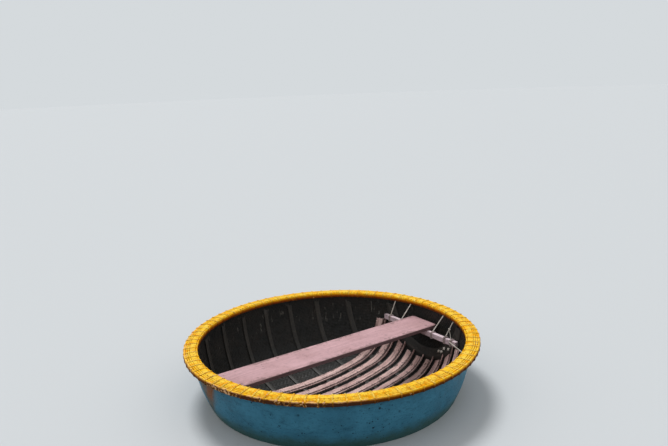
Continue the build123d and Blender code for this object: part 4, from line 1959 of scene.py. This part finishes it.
@dataclass
class Seat:
    """The plank across the boat and the two bearers."""

    bowl: Bowl
    end_gap: float = 0.0305
    width: float = 0.265
    offset: float = 0.0325
    drop: float = 0.120
    thickness: float = 0.028
    nipped: float = 0.014
    rounding: float = 0.004
    end_wear: float = 0.18
    end_rounding: float = 0.003
    hollow: float = 0.0012
    dish: float = 0.0010
    bearer_to_wall: float = 0.1185
    bearer_width: float = 0.028
    bearer_height: float = 0.038
    bearer_rounding: float = 0.002
    bearer_end_gap: float = 0.018
    bearer_clearance: float = 0.002

    @property
    def inside(self) -> float:
        """Radius of the wall's inner face at the level of the plank's top."""
        return self.bowl.radius_at_drop(self.drop, self.bowl.inside)

    @property
    def bearer_offset(self) -> float:
        """Distance of each bearer from the middle of the boat."""
        return self.inside - self.bearer_to_wall

    @property
    def bearer_reach(self) -> float:
        """Distance of the bearers' ends from the middle, short of the wall at their outer top edge."""
        wall = self.bowl.radius_at_drop(self.bowl.rim_level - self.bearer_top, self.bowl.inside)
        face = self.bearer_offset + self.bearer_width / 2
        return math.sqrt(wall**2 - face**2) - self.bearer_end_gap

    @property
    def bearer_top(self) -> float:
        """Height of the bearers' top faces."""
        return self.bowl.rim_level - self.drop - self.thickness - FIT_GAP

    @property
    def bearer_middle(self) -> float:
        """Height of the middle of the bearers."""
        return self.bearer_top - self.bearer_height / 2

    def build_plank(self) -> None:
        """The plank: a rounded section along the seat's line, narrower where its corners are nipped."""
        length = 2 * (self.inside - self.end_gap)
        section, edge = rounded_box(self.width, self.thickness, self.rounding, 12, 4)
        ends = np.array([0.0, 0.0005, 0.0015, 0.004, 0.008, self.nipped])
        middle = np.linspace(self.nipped, length - self.nipped, 110)[1:-1]
        run = np.concatenate([ends, middle, length - ends[::-1]])
        to_end = np.minimum(run, length - run)
        nip = np.maximum(self.nipped - to_end, 0.0)
        scale = 1 - 2 * nip / self.width
        shape = np.repeat(section[None], len(run), axis=0)
        shape[..., 0] *= scale[:, None]
        soft = 1 - np.sqrt(np.clip(1 - np.clip(1 - to_end / self.end_rounding, 0, 1) ** 2, 0, 1))
        shape[..., 1] *= (1 - self.end_wear * soft)[:, None]
        hollow = self.hollow * np.cos(run / length * FULL_TURN)[:, None] * (section[:, 1] > 0)
        sunk = self.dish * (1 - (2 * section[:, 0] / self.width) ** 2) * (section[:, 1] > 0)
        shape[..., 1] -= 0.0005 + 0.4 * np.abs(hollow) + 0.5 * np.abs(sunk)
        level = self.bowl.rim_level - self.drop - self.thickness / 2
        path = (run - length / 2)[:, None] * ALONG + self.offset * ACROSS + level * UP
        sheaf = Sheaf()
        sheaf.grids(turned(carry(path, ACROSS, UP, shape)), chart(run, girth(section)), edge)
        finish = SawnBoard(
            "seat_wood",
            pale=(0.675, 0.400, 0.432),
            mid=(0.570, 0.330, 0.355),
            dark=(0.20, 0.115, 0.110),
            stain=(0.42, 0.250, 0.250),
            side_shade_share=0.30,
        )
        sheaf.piece("seat_board", finish.material(), "seat_wood", "seat_plank")

    def build_bearers(self) -> None:
        """The bearers: each line of the section runs across the boat and stops at the wall."""
        finish = SawnBoard(
            "bearer_wood",
            pale=(0.98, 0.80, 0.87),
            mid=(0.84, 0.67, 0.73),
            dark=(0.30, 0.22, 0.23),
            stain=(0.62, 0.48, 0.52),
            grain_width=0.004,
        ).material()
        section, edge = rounded_box(self.bearer_width, self.bearer_height, self.bearer_rounding, 4, 4)
        sweep = np.linspace(-1.0, 1.0, 90)
        for side in Side:
            u = side.value * self.bearer_offset + section[:, 0]
            z = self.bearer_middle + section[:, 1]
            inset = self.bowl.inside + self.bearer_clearance
            drops = self.bowl.rim_level - z
            wall = np.array([self.bowl.radius_at_drop(drop, inset) for drop in drops])
            limit = np.minimum(np.sqrt(wall**2 - u**2), self.bearer_reach)
            v = sweep[:, None] * limit
            warp = 0.0006 * ripple(v * 4.0, (1, 3), 50 + int(side.value))
            points = np.stack(np.broadcast_arrays(u + warp, v, z), axis=-1)
            sheaf = Sheaf()
            run = sweep * limit.mean()
            sheaf.grids(turned(points), chart(run, girth(section)), edge, flip=True)
            name = side.name.lower()
            sheaf.piece(f"bearer_batten_{name}", finish, "bearer_wood", f"bearer_{name}")

    def build(self) -> None:
        """Build and dress the seat."""
        self.build_plank()
        self.build_bearers()


@dataclass
class Ropes:
    """The ropes that hang the bearers from the rim, and their turns and knots."""

    bowl: Bowl
    seat: Seat
    nodes: dict[str, bpy.types.Object]
    diameter: float = 0.008
    lay: float = 0.026
    step: float = 0.0032
    chart_width: float = 0.012
    turns: int = 2
    tie_inset: float = 0.0055
    ties: tuple[tuple[float, float], ...] = (
        (-0.150, -0.150),
        (-0.284, -0.298),
        (0.200, 0.190),
        (0.330, 0.322),
    )
    end_tie_along: float = -0.350
    end_tie_rise: float = 0.012
    end_wall_along: float = -0.502
    end_wall_drop: float = 0.183
    knot_size: float = 0.020
    cord_diameter: float = 0.004
    leg_tie: int = 1
    leg_share: float = 0.5
    leg_foot: float = -0.3365
    rib_inset: float = 0.0096
    rib_knot_size: float = 0.024
    rib_cord: float = 0.0055
    rib_knot_facing: tuple[float, float, float] = (0.85, 0.25, 0.5)
    rib_knots: tuple[tuple[float, float], ...] = (
        (-0.003, -0.175),
        (-0.008, -0.210),
        (-0.002, -0.231),
        (-0.014, -0.288),
    )

    def turn_path(self, side: Side, along: float, diameter: float) -> np.ndarray:
        """One turn of rope or cord round a bearer: a rounded box about its section."""
        gap = FIT_GAP + diameter / 2
        width, height = self.seat.bearer_width + 2 * gap, self.seat.bearer_height + 2 * gap
        outline, _ = rounded_box(width, height, gap, 8, 8)
        u = side.value * self.seat.bearer_offset + outline[:, 0]
        level = self.seat.bearer_middle + outline[:, 1]
        path = np.stack([u, np.full(len(u), along), level], axis=-1)
        return respaced(wrapped(path), self.step)

    def rope_top(self, side: Side, along: float) -> np.ndarray:
        """A place under the rim, midway between two lashings."""
        inner = Ring.of(self.nodes["rim_inner_hoop"])
        radius = inner.inner + self.tie_inset
        pitch = FULL_TURN / LASHING_COUNT
        angle = math.atan2(along, side.value * math.sqrt(radius**2 - along**2))
        midway = (math.floor((angle + SEAT_ANGLE) / pitch) + 0.5) * pitch - SEAT_ANGLE
        return np.array([radius * math.cos(midway), radius * math.sin(midway), inner.low - FIT_GAP])

    def foot(self, side: Side, along: float, diameter: float) -> np.ndarray:
        """A place on top of the turns round a bearer."""
        level = self.seat.bearer_top + 2 * FIT_GAP + diameter
        return np.array([side.value * self.seat.bearer_offset, along, level])

    def strand_chart(self, rows: int) -> np.ndarray:
        """UV places of a strand or cord with a number of rows."""
        around = np.linspace(0.0, self.chart_width, STRAND_SIDES + 1)
        return chart(np.arange(rows) * self.step, around)

    def add_rope(self, sheaf: Sheaf, path: np.ndarray, guide: np.ndarray, diameter: float) -> None:
        """Add a laid rope along a path given along the seat's line."""
        lay = self.lay * diameter / self.diameter
        strands = laid_rope(respaced(path, self.step), diameter, lay, guide)
        places = self.strand_chart(strands.shape[1])
        sheaf.grids(turned(strands), places)

    def add_knot(
        self, sheaf: Sheaf, centre: np.ndarray, outward: np.ndarray, size: float, cord: float
    ) -> None:
        """Add a knot of cord that faces a direction, given along the seat's line."""
        first = unit(np.cross([0.0, 1.0, 0.2], outward))
        axes = np.stack([first, np.cross(outward, first), outward])
        points = trefoil(centre, axes, size, cord)
        places = self.strand_chart(len(points) + 1)
        sheaf.grids(turned(points), places, closed=True)

    def end_path(self, side: Side) -> np.ndarray:
        """The rope from the turns at a bearer's near end to the wall."""
        beside = self.seat.bearer_offset - self.seat.bearer_width / 2
        beside -= 2 * FIT_GAP + 1.5 * self.diameter
        start_level = self.seat.bearer_middle + self.end_tie_rise
        start = np.array([side.value * beside, self.end_tie_along, start_level])
        wall = self.bowl.radius_at_drop(self.end_wall_drop, self.bowl.inside)
        across = math.sqrt(wall**2 - self.end_wall_along**2)
        level = self.bowl.rim_level - self.end_wall_drop
        return np.stack([start, np.array([side.value * across, self.end_wall_along, level])])

    def build_turns(self) -> None:
        """The turns round the bearers, browner than the ropes."""
        wraps = Sheaf()
        for side in Side:
            for along in [along for along, _ in self.ties] + [self.end_tie_along]:
                for k in range(self.turns):
                    offset = (k - (self.turns - 1) / 2) * (self.diameter + FIT_GAP)
                    path = self.turn_path(side, along + offset, self.diameter)
                    self.add_rope(wraps, path, ACROSS, self.diameter)
            path = self.turn_path(side, self.leg_foot, self.cord_diameter)
            self.add_rope(wraps, path, ACROSS, self.cord_diameter)
        finish = RopeFinish(
            "dirty_rope",
            clean=(0.62, 0.51, 0.50),
            dirty=(0.34, 0.27, 0.26),
            dark=(0.12, 0.090, 0.080),
        )
        wraps.piece("rope_wraps", finish.material(), "rope", "bearer_rope_turns")

    def build_ropes(self, finish: bpy.types.Material) -> None:
        """The taut ropes from the bearers to the rim and to the wall."""
        ropes = Sheaf()
        for side in Side:
            for along, top_along in self.ties:
                path = np.stack([self.foot(side, along, self.diameter), self.rope_top(side, top_along)])
                self.add_rope(ropes, path, np.array([0.3, 1.0, 0.0]), self.diameter)
            self.add_rope(ropes, self.end_path(side), np.array([1.0, 0.0, 0.3]), self.diameter)
        ropes.piece("hanging_ropes", finish, "rope", "bearer_ropes")

    def build_cords(self, finish: bpy.types.Material) -> None:
        """The thin leg knotted to one rope of each bearer, and the knots on the outermost ribs."""
        cords = Sheaf()
        outermost = self.seat.inside - FloorFrames.rib_to_wall
        for side in Side:
            along, top_along = self.ties[self.leg_tie]
            foot, top = self.foot(side, along, self.diameter), self.rope_top(side, top_along)
            knot = foot + self.leg_share * (top - foot)
            path = np.stack([self.foot(side, self.leg_foot, self.cord_diameter), knot])
            self.add_rope(cords, path, np.array([1.0, 0.3, 0.0]), self.cord_diameter)
            self.add_knot(cords, knot, unit(top - foot), self.knot_size, self.cord_diameter)
            for aside, place in self.rib_knots:
                u = np.array(side.value * (outermost + aside))
                inset = self.bowl.inside + self.rib_inset
                low = self.bowl.over(u, np.array(place), inset)
                high = self.bowl.over(u, np.array(place), inset + 0.3 * self.rib_knot_size)
                inwards = np.array([-side.value, -np.sign(place), 1.0])
                outward = unit(inwards * self.rib_knot_facing)
                middle = 0.5 * (low + high) + 0.15 * self.rib_knot_size * outward
                self.add_knot(cords, middle, outward, self.rib_knot_size, self.rib_cord)
        cords.piece("thin_cords", finish, "rope")

    def build(self) -> None:
        """Build and dress the ropes."""
        finish = RopeFinish("off_white_rope").material()
        self.build_turns()
        self.build_ropes(finish)
        self.build_cords(finish)


@dataclass
class Studio:
    """The floor at the waterline, the lights and the camera."""

    bowl: Bowl
    hole_inset: float = 0.003
    floor_sides: int = 180
    floor_rings: tuple[float, ...] = (1.2, 2.0, 4.0, 10.0, 25.0)
    floor_reach: float = 60.0
    sky: float = 0.60
    backdrop: Colour = (0.665, 0.700, 0.722)
    sun: float = 1.72
    sun_softness: float = math.radians(20.0)
    sun_turn: tuple[float, float, float] = (math.radians(-23.6), math.radians(-13.0), 0.0)
    eye: tuple[float, float, float] = (0.0677, -4.5311, 2.1479)
    eye_turn: tuple[float, float, float] = (77.663, 2.189, -0.217)
    lens: float = 37.725
    sensor: float = 36.0

    def build_floor(self) -> None:
        """A flat ring from just inside the hull's skin to far away, at the waterline."""
        inner = self.bowl.radius_at_drop(self.bowl.rim_level, 0.0) - self.hole_inset
        rings = np.array([inner, *self.floor_rings, self.floor_reach])
        points = on_rings(rings[:, None], circle(self.floor_sides), np.zeros(1))
        numbers = np.arange(points[..., 0].size).reshape(points.shape[:-1])
        faces = quads(wrapped(numbers, 1), clockwise=True).reshape(-1, 4)
        mesh = bpy.data.meshes.new("floor")
        mesh.from_pydata(points.reshape(-1, 3).tolist(), [], faces.tolist())
        mesh.materials.append(PaleFloor().material())
        floor = bpy.data.objects.new("floor", mesh)
        bpy.context.scene.collection.objects.link(floor)

    def build_light(self) -> None:
        """A plain sky that lights the boat, a paler one that the eye sees, and one soft sun."""
        world = bpy.data.worlds.new("pale_sky")
        bpy.context.scene.world = world
        world.use_nodes = True
        shade = Shade(world.node_tree)
        shade.tree.nodes.clear()
        light = shade.node("Background", {0: (1.0, 1.0, 1.0), 1: self.sky}).outputs[0]
        view = shade.node("Background", {0: self.backdrop, 1: 1.0}).outputs[0]
        both = shade.node("MixShader", {0: shade.seen_directly(), 1: light, 2: view}).outputs[0]
        shade.node("OutputWorld", {0: both})
        lamp = bpy.data.lights.new("sun", "SUN")
        lamp.energy = self.sun
        lamp.angle = self.sun_softness
        sun = bpy.data.objects.new("sun", lamp)
        sun.rotation_euler = self.sun_turn
        bpy.context.scene.collection.objects.link(sun)

    def build_camera(self) -> None:
        """The camera, at the place and angle from which the boat was looked at."""
        data = bpy.data.cameras.new("camera")
        data.lens = self.lens
        data.sensor_width = self.sensor
        data.sensor_fit = "HORIZONTAL"
        data.clip_end = 2 * self.floor_reach
        camera = bpy.data.objects.new("camera", data)
        camera.location = self.eye
        camera.rotation_euler = [math.radians(angle) for angle in self.eye_turn]
        bpy.context.scene.collection.objects.link(camera)
        bpy.context.scene.camera = camera
        bpy.context.scene.view_settings.view_transform = "Standard"

    def build(self) -> None:
        """Set up floor, light and camera."""
        self.build_floor()
        self.build_light()
        self.build_camera()


def main() -> None:
    """Load the frame, build each sub-assembly in order and note the sizes."""
    logging.basicConfig(level=logging.INFO, format="%(name)s: %(message)s")
    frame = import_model()
    nodes = frame["nodes"]
    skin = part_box("outer_skin")
    rim_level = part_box("rim_cap")[1].z
    bowl = Bowl(rim_level, rim_level - skin[0].z, skin[1].x)
    seat = Seat(bowl)
    floor_frames = FloorFrames(bowl, seat)
    for part in (Hull(bowl), Rim(nodes, bowl), floor_frames, seat, Ropes(bowl, seat, nodes)):
        part.build()
        LOG.info("%s is built", type(part).__name__)
    Studio(bowl).build()


if __name__ == "__main__":
    main()
